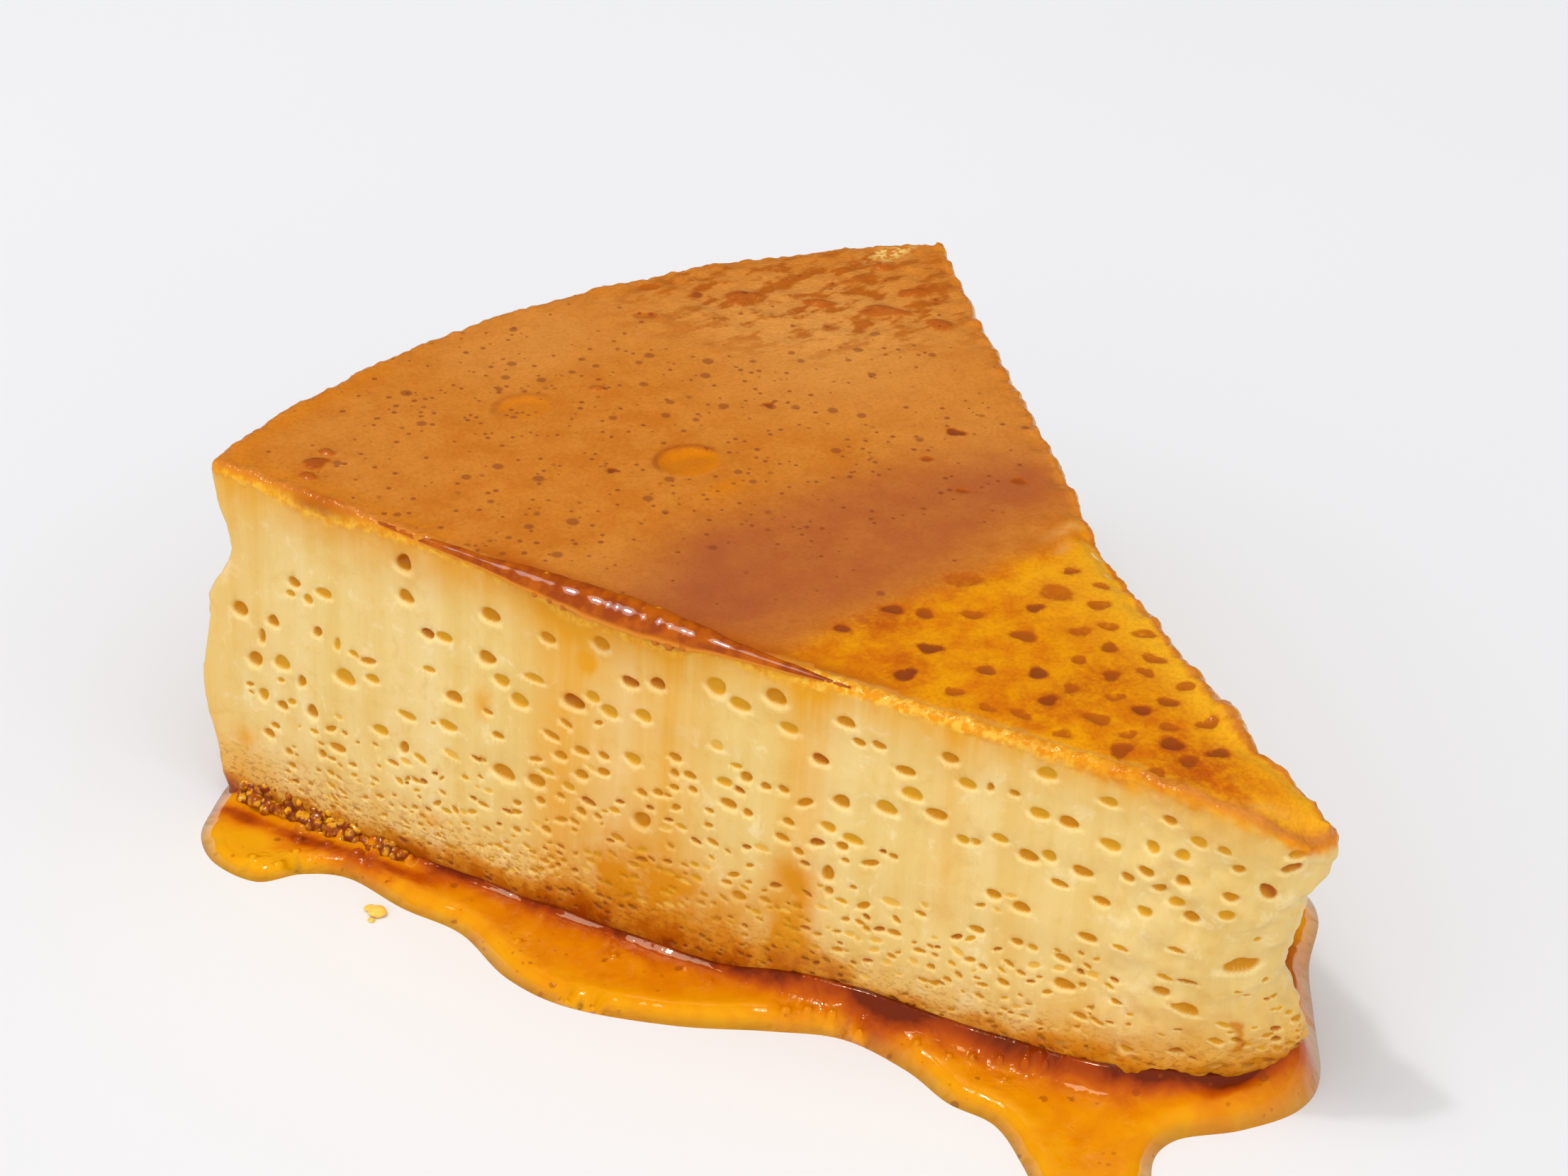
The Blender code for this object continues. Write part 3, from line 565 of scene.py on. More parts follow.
dark_glaze = 0.72 * np.clip(1.7 * blob(-5, -8, 38, 14, 0.06), 0, 1) + 0.24 * blob(-20, -10, 14, 10)
dark_glaze += 0.22 * blob(-14, -1, 7, 9, -0.5) + 0.45 * blob(17, -8.5, 8, 8, 0.3)
wet_line = -17.8 + 0.05 * (x - 5) + 1.6 * ripple(flat_xyz, 9, 21) + 0.6 * ripple(flat_xyz, 3, 22)
wet_orange = smooth((wet_line - y) / 3.6 + 0.5)
blotch = 0.9 * blob(-8.8, -19.6, 5.0, 3.4, -0.2) + 0.7 * blob(-11.8, -26.4, 4.0, 3.6) + 0.5 * blob(1.5, -18.4, 3.4, 2.2)
blotch += 1.0 * blob(-1, -51, 7, 9) + 0.6 * blob(-1, -37, 10, 4.5) + 0.3 * blob(7, -25, 4, 2.6) + 0.5 * blob(4, -42, 6, 4)
yellow_rim = (x > 0) * (y < -19) * np.exp(-((from_edge / 2.4) ** 2)) + 0.6 * smooth((x - 1) / 8) * smooth((-19 - y) / 3)
lace_edge = (x < 0) * np.exp(-((from_edge / 0.8) ** 2)) * smooth((46 - np.hypot(x, y + 60)) / 6)
yellow_rim += lace_edge * (0.8 + 0.5 * ripple(flat_xyz, 0.9, 23))
fine_specks = np.clip(blob(-14, 20, 34, 34) * 1.6 + 0.8 * blob(12, 14, 34, 30) + 0.5 * blob(0, -5, 30, 16), 0, 1)
fine_specks *= smooth((lens_out - 0.9) / 0.2)
peach = 0.95 * blob(20, 22, 26, 20, 0.3) + 0.4 * blob(4, 36, 34, 10) + 0.25 * blob(22, 4, 12, 12)
from_front = np.hypot(x, y + 60)
syrup_edge = (x < -2) * np.exp(-((from_edge / 1.7) ** 2)) * smooth((from_front - 30) / 8) * smooth((80 - from_front) / 8)
bright_edge = (x < -20) * np.exp(-((from_edge / 1.8) ** 2)) * smooth((from_front - 76) / 6)
rim_froth = np.clip(1.3 * blob(38.5, 36.5, 7.5, 3.2, 0.45) + 0.5 * blob(25, 44, 14, 3, -0.3), 0, 1)
bright_fleck = 0.95 * (1 - smooth((lens_out - 0.84) / 0.2)) + 0.6 * (1 - smooth((faint_out - 0.7) / 0.4))
bright_fleck += 0.7 * blob(-6.5, 5.4, 3.2, 1.9, 0.1)
# Painted shade: a dark arc along the steep far side of each dimple.
dimple_painted_shade = 1.1 * np.exp(-(((lens_out - 1.0) / 0.09) ** 2)) * smooth((y - 10.6) / 1.5)
dimple_painted_shade += 0.6 * np.exp(-(((faint_out - 1.0) / 0.12) ** 2)) * smooth((y - 27.2) / 1.5)
# Painted highlight: pale streaks of wet sheen on the glaze, and one near the tip.
painted_wet_sheen = 0.9 * blob(15, -16.8, 4.5, 1.1, 0.15) + 0.7 * blob(12.5, -19.2, 2.4, 1.0, 0.5) + 0.5 * blob(-1, -56, 6, 1.0, -0.45)

# The foot is closed with a coarse flat floor.
foot = [i for i in np.argsort(u) if w[i] < 1e-6 and not on_seam[i]]
foot_plan = wall_skin[foot, :2]
floor_plan = scatter((-48.0, -70.0), (48.0, 50.0), 6.0)
floor_plan = floor_plan[inside_loop(floor_plan, foot_plan)]
floor_plan = floor_plan[from_loop(floor_plan, foot_plan) > 2.0]
foot_faces = triangles(np.vstack([foot_plan, floor_plan]), list(range(len(foot))))
foot_global = np.array(foot + list(range(wall_count + len(top_plan), wall_count + len(top_plan) + len(floor_plan))))

top_skin = np.column_stack([top_plan, top_z])
floor_skin = np.column_stack([floor_plan, np.full(len(floor_plan), foot_height)])
skin_all = np.vstack([wall_skin, top_skin, floor_skin]) * MM
faces = [(wall_index[a], wall_index[c], wall_index[b]) for a, b, c in wall_faces]
faces += [tuple(top_global[list(f)]) for f in top_faces] + [tuple(foot_global[list(f)][::-1]) for f in foot_faces]
faces = [f for f in faces if len(set(f)) == 3]


def make_piece(name, points, faces, masks=None):
    """A mesh object, its loose points dropped, with a soft mask for each name in masks."""
    used = np.zeros(len(points), bool)
    used[np.array(faces).ravel()] = True
    order = np.cumsum(used) - 1
    mesh = bpy.data.meshes.new(name)
    mesh.from_pydata(np.asarray(points)[used].tolist(), [], order[np.array(faces)].tolist())
    mesh.shade_smooth()
    for mask_name, values in (masks or {}).items():
        attribute = mesh.attributes.new(mask_name, "FLOAT", "POINT")
        attribute.data.foreach_set("value", np.asarray(values, np.float32)[used])
    piece = bpy.data.objects.new(name, mesh)
    bpy.context.scene.collection.objects.link(piece)
    return piece


none_top, none_floor = np.zeros(len(x)), np.zeros(len(floor_plan))


def on_parts(wall=None, top=None):
    wall = np.zeros(wall_count) if wall is None else wall
    return np.concatenate([wall, none_top if top is None else top, none_floor])


# Colour left on the wall: bands dragged down the cut by the knife, stains low on it, a soaked foot.
height = skin[:, 2]
on_front = (u < front_end).astype(float)


def band(centre, width, low, high, strength):
    return strength * np.exp(-((reach - centre) / width) ** 2) * smooth((height - low) / 3 + 0.5) * smooth((high - height) / 3 + 0.5)


def patch(centre, level, wide, tall, strength):
    return strength * on_front * np.exp(-((reach - centre) / wide) ** 2 - ((height - level) / tall) ** 2)


golden = band(65.5, 3.2, 5, 34, 0.9) + band(54.5, 3.4, 10, 34, 0.7) + band(60, 6, 10, 35, 0.5) + band(41.5, 2.0, 3, 33, 0.95)
golden += band(28.2, 1.6, 12, 31, 0.45) + band(100.5, 2.2, 16, 36, 0.4) + band(22, 1.6, 10, 26, 0.2) + band(86, 2.5, 12, 30, 0.12)
golden += on_front * 1.15 * np.exp(-(((wall_top - w) / (3.8 + 0.4 * smooth((reach - 46) / 8))) ** 2))
golden += 0.75 * np.exp(-((height / 5.5) ** 2))
golden += 1.15 * smooth((u - wall_length + 15) / 11) * (u > back_end) * np.exp(-(((wall_top - w) / 3.8) ** 2))
golden += patch(73.8, 19.7, 0.9, 1.4, 1.2) + patch(79.5, 6, 1.2, 1.0, 1.0) + patch(101, 7.7, 1.0, 1.2, 1.0) + patch(62.9, 26.8, 0.9, 0.9, 1.0)
torn_or_tip = (u > back_end) * smooth((u - back_end - 3) / 3) + on_front * smooth((8 - u) / 8)
golden += 0.55 * on_front * smooth((reach - 96) / 6) * smooth((10 - height) / 6)
golden += 0.8 * torn_or_tip * smooth((14 - height) / 12)
stain = patch(55, 7.5, 6.5, 4.2, 1.0) + patch(60, 7, 6, 4.2, 0.7) + patch(47, 7, 5, 3.5, 0.55) + patch(33, 6, 9, 3, 0.25)
stain += band(42, 2.1, 2, 14, 1.25) * on_front
stain += 0.55 * torn_or_tip * smooth((7.5 - height) / 5)
stain += 0.85 * on_front * np.exp(-(((wall_top - w) / 3.4) ** 2)) * smooth((reach - 56) / 6) * smooth((98 - reach) / 6)
soak_high = 4.5 + 2.5 * smooth((70 - reach) / 8) * smooth((reach - 34) / 6) + 1.2 * smooth((44 - reach) / 8)
soak_high -= 1.0 * smooth((reach - 80) / 8)
soaked = np.clip((soak_high + 0.8 * ripple(skin, 2.5, 34) - height) / (0.85 * soak_high), 0, 1) ** 1.3
soaked *= 1 - 0.3 * smooth((16 - reach) / 8)
crack_place = rim_end + 96 + 14 + 0.6 * ripple(skin, 1.5, 36)
crack = np.exp(-(((u - crack_place) / 0.4) ** 2)) * smooth((10.5 - w) / 1.5) * smooth((w - 5) / 2)
soaked += 0.5 * crack * (u > back_end) * (0.75 + 0.5 * ripple(skin, 0.8, 37))
tip_hang = np.exp(-(((u - back_end - 10) / 7) ** 2)) + 0.85 * np.exp(-(((u - wall_length) / 7) ** 2))
tip_hang += 0.85 * on_front * np.exp(-((u / 8) ** 2))
fringe_deep = 1.0 + on_front * (
    0.7 * smooth((reach - 38) / 6) + 1.4 * smooth((reach - 50) / 5) * smooth((70 - reach) / 5)
    + 0.8 * np.exp(-((reach - 91) / 4) ** 2) + 0.4 * smooth((50 - reach) / 5)
)
fringe_deep += 1.6 * tip_hang + (0.35 + 0.5 * tip_hang) * ripple(skin, 1.6, 31) + 0.25 * ripple(skin, 0.5, 32)
fringe = smooth((w - (wall_top - fringe_deep)) / (0.35 + 1.5 * tip_hang))
fringe_up = np.clip((w - (wall_top - fringe_deep)) / fringe_deep, 0, 1)
fringe_dark = on_front * (
    0.95 * smooth((reach - 46) / 4) * smooth((76 - reach) / 6) + 0.8 * np.exp(-((reach - 91.5) / 3.2) ** 2)
    + 0.6 * np.exp(-((reach - 40) / 1.2) ** 2)
)
lace = smooth((46 - reach) / 5) * on_front
sliver = 0.4 * on_front * smooth((reach - 101.5) / 1.6)
cut_masks = dict(
    top=on_parts(edge_near * smooth((w - (wall_top - 1.0)) / 0.7) * (1 - 0.75 * lace), none_top + 1),
    pit=on_parts(pit_mask), pit_tone=on_parts(pit_tone), pit_rise=on_parts(pit_rise), painted_lip_highlight=on_parts(painted_lip_highlight),
    golden=on_parts(golden), stain=on_parts(stain), soaked=on_parts(soaked), fringe=on_parts(fringe),
    fringe_dark=on_parts(fringe_dark), fringe_up=on_parts(fringe_up), hang=on_parts(tip_hang),
    lace=on_parts(lace), mould_side=on_parts(np.maximum(mould_side, sliver)),
    along=on_parts(np.where(cut_mask > 0, reach, u), none_top), up=on_parts(w, none_top),
    low=on_parts(smooth((9 - height) / 7), none_top), dark_glaze=on_parts(None, dark_glaze),
    wet=on_parts(None, wet_orange), specks=on_parts(None, fine_specks), rough=on_parts(None, rough_zone),
    spots=on_parts(None, spot_mask), spot_ring=on_parts(None, spot_ring), froth=on_parts(None, rim_froth),
    fleck=on_parts(None, bright_fleck), peach=on_parts(None, peach), painted_dimple_shade=on_parts(None, dimple_painted_shade),
    blotch=on_parts(None, blotch), yellow_rim=on_parts(None, yellow_rim), painted_sheen=on_parts(None, painted_wet_sheen),
    syrup_edge=on_parts(fringe_dark * (w > wall_top - 1.2), syrup_edge), bright_edge=on_parts(None, bright_edge),
)
custard = make_piece("flan_custard", skin_all, faces, cut_masks)


# ---------------------------------------------------------------------------------------------
# The custard's finish: pale set egg custard, moist and faintly see-through, with caramel soaked
# into its foot, stains and bubbles, and a wet caramel glaze over the top.
# ---------------------------------------------------------------------------------------------
def shade(red, green, blue):
    """A colour from 0-255 display values."""
    linear = [c / 255 / 12.92 if c <= 10 else ((c / 255 + 0.055) / 1.055) ** 2.4 for c in (red, green, blue)]
    return (*linear, 1.0)


def add(tree, kind, inputs=None, **settings):
    """A shader node with its settings. Its inputs are given as values or as sockets to link."""
    node = tree.nodes.new(kind)
    for name, value in settings.items():
        setattr(node, name, value)
    for name, value in (inputs or {}).items():
        if isinstance(value, bpy.types.NodeSocket):
            tree.links.new(value, node.inputs[name])
        else:
            node.inputs[name].default_value = value
    return node


def maths(tree, operation, a, b=0.5, c=0.5):
    return add(tree, "ShaderNodeMath", {0: a, 1: b, 2: c}, operation=operation).outputs[0]


def blend(tree, amount, under, over, mode="MIX"):
    mixed = add(tree, "ShaderNodeMix", {0: amount, 6: under, 7: over}, data_type="RGBA", blend_type=mode)
    mixed.clamp_factor = True
    return mixed.outputs[2]


def ease(tree, value, low, high, start=0.0, end=1.0):
    """value eased from start to end as it goes from low to high."""
    inputs = {"Value": value, 1: low, 2: high, 3: start, 4: end}
    return add(tree, "ShaderNodeMapRange", inputs, interpolation_type="SMOOTHSTEP").outputs[0]


def mask(tree, name):
    return add(tree, "ShaderNodeAttribute", attribute_name=name).outputs["Fac"]


def place(tree):
    """Position on the piece, in mm."""
    spot = add(tree, "ShaderNodeTexCoord").outputs["Object"]
    return add(tree, "ShaderNodeVectorMath", {0: spot, 3: 1000.0}, operation="SCALE").outputs[0]


def cloud(tree, where, size, detail=2.0, rough=0.5, warp=0.0):
    inputs = {"Vector": where, "Scale": 1.0 / size, "Detail": detail, "Roughness": rough, "Distortion": warp}
    return add(tree, "ShaderNodeTexNoise", inputs).outputs["Fac"]


def new_material(name):
    material = bpy.data.materials.new(name)
    material.use_nodes = True
    tree = material.node_tree
    tree.nodes.clear()
    shader = add(tree, "ShaderNodeBsdfPrincipled")
    end = add(tree, "ShaderNodeOutputMaterial", {"Surface": shader.outputs[0]})
    return material, tree, shader


# Burnt-sugar specks, shared by the glaze, the syrup and the pool.
speck_group = bpy.data.node_groups.new("sugar_specks", "ShaderNodeTree")
for name, kind, way in (
    ("Where", "NodeSocketVector", "INPUT"), ("Size", "NodeSocketFloat", "INPUT"),
    ("Share", "NodeSocketFloat", "INPUT"), ("Specks", "NodeSocketFloat", "OUTPUT"),
):
    speck_group.interface.new_socket(name, in_out=way, socket_type=kind)
entry, leave = add(speck_group, "NodeGroupInput"), add(speck_group, "NodeGroupOutput")
fine = add(speck_group, "ShaderNodeVectorMath", {0: entry.outputs["Where"], 1: entry.outputs["Size"]}, operation="DIVIDE")
cells = add(speck_group, "ShaderNodeTexVoronoi", {"Vector": fine.outputs[0], "Scale": 1.0, "Randomness": 1.0})
chosen = add(speck_group, "ShaderNodeSeparateColor", {0: cells.outputs["Color"]})
kept = maths(speck_group, "LESS_THAN", chosen.outputs[0], entry.outputs["Share"])
wide = maths(speck_group, "MULTIPLY_ADD", chosen.outputs[1], 0.22, 0.1)
near = maths(speck_group, "SUBTRACT", wide, cells.outputs["Distance"])
dot = ease(speck_group, near, -0.05, 0.08)
speck_group.links.new(maths(speck_group, "MULTIPLY", kept, dot), leave.inputs[0])


def specks(tree, where, size, share):
    group = add(tree, "ShaderNodeGroup", node_tree=speck_group)
    for name, value in (("Where", where), ("Size", size), ("Share", share)):
        if isinstance(value, bpy.types.NodeSocket):
            tree.links.new(value, group.inputs[name])
        else:
            group.inputs[name].default_value = value
    return group.outputs[0]


custard_finish, tree, shader = new_material("set_custard")
where = place(tree)
along_up = add(tree, "ShaderNodeCombineXYZ", {0: mask(tree, "along"), 1: mask(tree, "up"), 2: 0.0}).outputs[0]
streak_run = add(tree, "ShaderNodeVectorMath", {0: along_up, 1: (1.0, 0.05, 1.0)}, operation="MULTIPLY").outputs[0]
fleck_run = add(tree, "ShaderNodeVectorMath", {0: along_up, 1: (0.75, 1.3, 1.0)}, operation="MULTIPLY").outputs[0]
streaks = cloud(tree, streak_run, 1.9, 3.0, 0.55, 0.2)
fine_streaks = cloud(tree, streak_run, 0.35, 2.0, 0.6)
mottle = cloud(tree, where, 3.2, 4.0, 0.6)
fine_mottle = cloud(tree, where, 0.8, 3.0, 0.6)

broad = cloud(tree, streak_run, 7.0, 2.0, 0.5)
cut_colour = blend(tree, ease(tree, streaks, 0.3, 0.75, 0.0, 0.55), shade(223, 193, 122), shade(214, 174, 86))
cut_colour = blend(tree, ease(tree, broad, 0.45, 0.7, 0.0, 0.7), cut_colour, shade(228, 204, 147))
cut_colour = blend(tree, maths(tree, "MULTIPLY", ease(tree, fine_streaks, 0.5, 0.8), 0.06), cut_colour, shade(206, 150, 56))
curdle = cloud(tree, where, 2.1, 4.0, 0.65, 0.4)
cut_colour = blend(tree, ease(tree, curdle, 0.5, 0.75, 0.0, 0.5), cut_colour, shade(212, 166, 80))
cut_colour = blend(tree, ease(tree, curdle, 0.46, 0.26, 0.0, 0.6), cut_colour, shade(234, 214, 164))
gold = maths(tree, "MULTIPLY", mask(tree, "golden"), ease(tree, streaks, 0.2, 0.6, 0.55, 1.0))
cut_colour = blend(tree, maths(tree, "MULTIPLY", gold, 0.72), cut_colour, shade(218, 150, 14))
cut_colour = blend(tree, maths(tree, "MULTIPLY", mask(tree, "mould_side"), 0.5), cut_colour, shade(224, 158, 34))
# Painted highlight: pale lips under the pits.
cut_colour = blend(tree, maths(tree, "MULTIPLY", mask(tree, "painted_lip_highlight"), 0.5), cut_colour, shade(244, 220, 152))
stained = maths(tree, "MULTIPLY", mask(tree, "stain"), ease(tree, mottle, 0.25, 0.6, 0.45, 1.0))
cut_colour = blend(tree, maths(tree, "MULTIPLY", stained, 0.95), cut_colour, shade(206, 132, 0))
low_flecks = cloud(tree, fleck_run, 0.6, 3.0, 0.7)
soak = maths(tree, "MULTIPLY", mask(tree, "soaked"), ease(tree, mottle, 0.3, 0.7, 0.45, 1.35))
cut_colour = blend(tree, ease(tree, soak, 0.0, 0.25, 0.0, 0.9), cut_colour, shade(200, 124, 4))
cut_colour = blend(tree, ease(tree, soak, 0.2, 0.6, 0.0, 0.9), cut_colour, shade(172, 84, 0))
fleck_share = maths(tree, "MULTIPLY", mask(tree, "low"), ease(tree, low_flecks, 0.5, 0.6))
cut_colour = blend(tree, maths(tree, "MULTIPLY", fleck_share, 0.65), cut_colour, shade(158, 82, 0))
cut_colour = blend(tree, ease(tree, soak, 0.6, 1.0, 0.0, 0.9), cut_colour, shade(136, 48, 0))
deep = add(tree, "ShaderNodeMapRange", {"Value": mask(tree, "pit_tone"), 1: 0.0, 2: 1.0}).outputs[0]
pit_colour = blend(tree, ease(tree, deep, 0.05, 0.4), shade(222, 174, 72), shade(208, 150, 14))
pit_colour = blend(tree, ease(tree, deep, 0.4, 0.75), pit_colour, shade(206, 138, 8))
pit_colour = blend(tree, ease(tree, deep, 0.75, 1.0), pit_colour, shade(180, 96, 0))
# Painted light and shade: each pit stays darker in its upper part, under the overhang, and turns golden low inside,
# where light reaches.
pit_colour = blend(tree, ease(tree, mask(tree, "pit_rise"), 0.1, -0.9, 0.0, 0.6), pit_colour, shade(222, 158, 20))
pit_colour = blend(tree, ease(tree, soak, 0.05, 0.45, 0.0, 0.95), pit_colour, shade(146, 68, 0))
cut_colour = blend(tree, mask(tree, "pit"), cut_colour, pit_colour)
fringe_colour = blend(tree, ease(tree, fine_mottle, 0.35, 0.65), shade(220, 142, 12), shade(232, 176, 46))
fringe_colour = blend(tree, ease(tree, mask(tree, "fringe_up"), 0.2, 0.8, 0.0, 0.8), fringe_colour, shade(208, 114, 6))
darker = maths(tree, "MULTIPLY", mask(tree, "fringe_dark"), ease(tree, mask(tree, "fringe_up"), 0.15, 0.6))
fringe_colour = blend(tree, maths(tree, "MULTIPLY", darker, ease(tree, mottle, 0.2, 0.6, 0.6, 1.0)), fringe_colour, shade(150, 66, 0))
lace_colour = blend(tree, ease(tree, fine_mottle, 0.4, 0.6), shade(234, 184, 66), shade(224, 146, 14))
fringe_colour = blend(tree, mask(tree, "lace"), fringe_colour, lace_colour)
hang_colour = blend(tree, ease(tree, mottle, 0.35, 0.7), shade(228, 154, 6), shade(206, 110, 0))
fringe_colour = blend(tree, mask(tree, "hang"), fringe_colour, hang_colour)
cut_colour = blend(tree, mask(tree, "fringe"), cut_colour, fringe_colour)

top_colour = blend(tree, ease(tree, mottle, 0.3, 0.7), shade(207, 127, 42), shade(197, 113, 28))
drift = cloud(tree, where, 26.0, 2.0, 0.5)
lighter = maths(tree, "ADD", ease(tree, drift, 0.45, 0.65, 0.0, 0.3), mask(tree, "peach"))
top_colour = blend(tree, maths(tree, "MULTIPLY", lighter, 0.85), top_colour, shade(215, 145, 66))
across_run = add(tree, "ShaderNodeVectorMath", {0: where, 1: (0.62, 1.15, 1.0)}, operation="MULTIPLY").outputs[0]
patches = cloud(tree, across_run, 1.9, 3.0, 0.55)
top_colour = blend(tree, maths(tree, "MULTIPLY", mask(tree, "rough"), ease(tree, patches, 0.46, 0.62, 0.0, 0.9)), top_colour, shade(174, 86, 4))
wet_colour = blend(tree, ease(tree, mottle, 0.3, 0.7), shade(230, 150, 2), shade(208, 110, 0))
top_colour = blend(tree, mask(tree, "wet"), top_colour, wet_colour)
blotched = maths(tree, "MULTIPLY", mask(tree, "blotch"), ease(tree, fine_mottle, 0.3, 0.65, 0.4, 1.0))
top_colour = blend(tree, maths(tree, "MULTIPLY", blotched, 0.85), top_colour, shade(180, 72, 4))
top_colour = blend(tree, maths(tree, "MULTIPLY", mask(tree, "yellow_rim"), 0.8), top_colour, shade(234, 166, 28))
glaze = maths(tree, "MULTIPLY", mask(tree, "dark_glaze"), ease(tree, mottle, 0.2, 0.75, 0.8, 1.0))
top_colour = blend(tree, glaze, top_colour, shade(166, 83, 46))
top_colour = blend(tree, mask(tree, "fleck"), top_colour, shade(212, 120, 0))
# Painted shade on the dimples' steep far sides.
top_colour = blend(tree, maths(tree, "MULTIPLY", mask(tree, "painted_dimple_shade"), 0.8), top_colour, shade(160, 78, 10))
# Painted highlight: pale wet sheen on the glaze.
top_colour = blend(tree, maths(tree, "MULTIPLY", mask(tree, "painted_sheen"), ease(tree, fine_mottle, 0.3, 0.6, 0.2, 0.7)), top_colour, shade(232, 176, 96))
top_colour = blend(tree, maths(tree, "MULTIPLY", mask(tree, "syrup_edge"), 0.85), top_colour, shade(176, 80, 0))
top_colour = blend(tree, maths(tree, "MULTIPLY", mask(tree, "bright_edge"), 0.6), top_colour, shade(210, 122, 10))
spot_shade = maths(tree, "MAXIMUM", mask(tree, "spots"), maths(tree, "MULTIPLY", mask(tree, "spot_ring"), 0.4))
spot_shade = maths(tree, "MULTIPLY", spot_shade, ease(tree, fine_mottle, 0.25, 0.6, 0.6, 1.1))
spot_colour = blend(tree, ease(tree, mask(tree, "spots"), 0.5, 0.9), shade(178, 84, 6), shade(122, 40, 16))
top_colour = blend(tree, ease(tree, spot_shade, 0.0, 0.5, 0.0, 0.85), top_colour, spot_colour)
tiny = specks(tree, where, 0.95, maths(tree, "MULTIPLY", mask(tree, "specks"), 0.62))
top_colour = blend(tree, maths(tree, "MULTIPLY", tiny, 0.68), top_colour, shade(132, 58, 30))
small = specks(tree, where, 2.0, maths(tree, "MULTIPLY", mask(tree, "specks"), 0.4))
top_colour = blend(tree, maths(tree, "MULTIPLY", small, 0.6), top_colour, shade(128, 56, 30))
grainy = cloud(tree, where, 0.4, 3.0, 0.7)
top_colour = blend(tree, ease(tree, grainy, 0.4, 0.7, 0.0, 0.22), top_colour, shade(150, 78, 16))
froth_share = maths(tree, "MULTIPLY", mask(tree, "froth"), ease(tree, fine_mottle, 0.45, 0.62))
top_colour = blend(tree, froth_share, top_colour, shade(244, 206, 120))

body_colour = blend(tree, mask(tree, "top"), cut_colour, top_colour)
moist = ease(tree, fine_mottle, 0.2, 0.8, 0.3, 0.48)
glazed = ease(tree, mottle, 0.2, 0.8, 0.07, 0.18)
glazed = add(tree, "ShaderNodeMix", {0: mask(tree, "rough"), 2: glazed, 3: 0.25}, data_type="FLOAT").outputs[0]
wet_parts = maths(tree, "MAXIMUM", mask(tree, "top"), maths(tree, "MAXIMUM", mask(tree, "fringe"), ease(tree, soak, 0.3, 0.8)))
roughness = add(tree, "ShaderNodeMix", {0: wet_parts, 2: moist, 3: glazed}, data_type="FLOAT").outputs[0]
grain = maths(tree, "ADD", maths(tree, "MULTIPLY", fine_streaks, 0.16), maths(tree, "MULTIPLY", low_flecks, 0.3))
sparkle = maths(tree, "MULTIPLY", cloud(tree, where, 0.5, 2.0), maths(tree, "MAXIMUM", mask(tree, "fringe"), mask(tree, "rough")))
grain = maths(tree, "ADD", maths(tree, "MULTIPLY", grain, 0.05), maths(tree, "MULTIPLY", fine_mottle, 0.05))
grain = maths(tree, "ADD", grain, maths(tree, "MULTIPLY", sparkle, 0.4))
bump = add(tree, "ShaderNodeBump", {"Strength": 0.35, "Distance": 0.001, "Height": grain})
for socket, value in (
    ("Base Color", body_colour), ("Roughness", roughness), ("Normal", bump.outputs[0]),
):
    tree.links.new(value, shader.inputs[socket])
shader.inputs["Subsurface Weight"].default_value = 0.18
shader.inputs["Subsurface Radius"].default_value = (1.0, 0.6, 0.3)
shader.inputs["Subsurface Scale"].default_value = 0.0016
shader.inputs["IOR"].default_value = 1.4
shader.inputs["Specular IOR Level"].default_value = 0.45
shader.inputs["Specular Tint"].default_value = (1.0, 0.86, 0.62, 1.0)
custard.data.materials.append(custard_finish)
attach(custard, "root")
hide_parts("custard")


# ---------------------------------------------------------------------------------------------
# The caramel pool: thin burnt-sugar syrup that ran off the slice and spread on the table. It has a
# rounded rim, pulls up against the custard's foot, and darkens from gold to red-brown as it deepens;
# right of the tip it also carries painted shadow of the slice.
# ---------------------------------------------------------------------------------------------
pool_edge_points = [
    (-46.9, 32.6), (-49.9, 29.2), (-51.0, 24.5), (-49.4, 19.6), (-45.4, 18.2), (-42.3, 15.0), (-40.9, 8.0),
    (-38.8, 1.5), (-39.2, -6.5), (-37.2, -13.4), (-31.4, -20.9), (-25.4, -26.3), (-21.0, -31.0), (-19.4, -37.5),
    (-19.4, -43.0), (-18.2, -47.5), (-19.6, -52.5), (-22.3, -58.5), (-25.2, -64.5), (-25.2, -69.8), (-20.8, -71.6),
    (-16.6, -67.5), (-12.2, -60.0), (-7.8, -57.9), (-2.3, -60.2), (3.3, -61.2), (8.0, -59.2), (13.5, -53.2),
    (18.8, -47.4), (25.0, -42.5), (26.9, -37.5), (24.6, -30.0), (24.8, -22.0), (27.8, -12.5), (33.0, -1.0),
    (38.0, 11.0), (41.5, 22.0), (47.0, 30.5), (46.6, 37.5), (37.0, 43.0), (26.0, 45.6), (14.0, 50.0), (0.0, 49.0),
    (-13.0, 48.8), (-25.0, 44.2), (-35.0, 40.6), (-42.6, 36.2),
]


def round_trip(points, each=9):
    """A closed smooth curve through the points."""
    p = np.array(points)
    a, b, c, d = np.roll(p, 1, 0), p, np.roll(p, -1, 0), np.roll(p, -2, 0)
    t = (np.arange(each) / each)[None, :, None]
    a, b, c, d = (v[:, None, :] for v in (a, b, c, d))
    curve = 0.5 * (2 * b + (c - a) * t + (2 * a - 5 * b + 4 * c - d) * t**2 + (3 * b - 3 * c + d - a) * t**3)
    return curve.reshape(-1, 2)


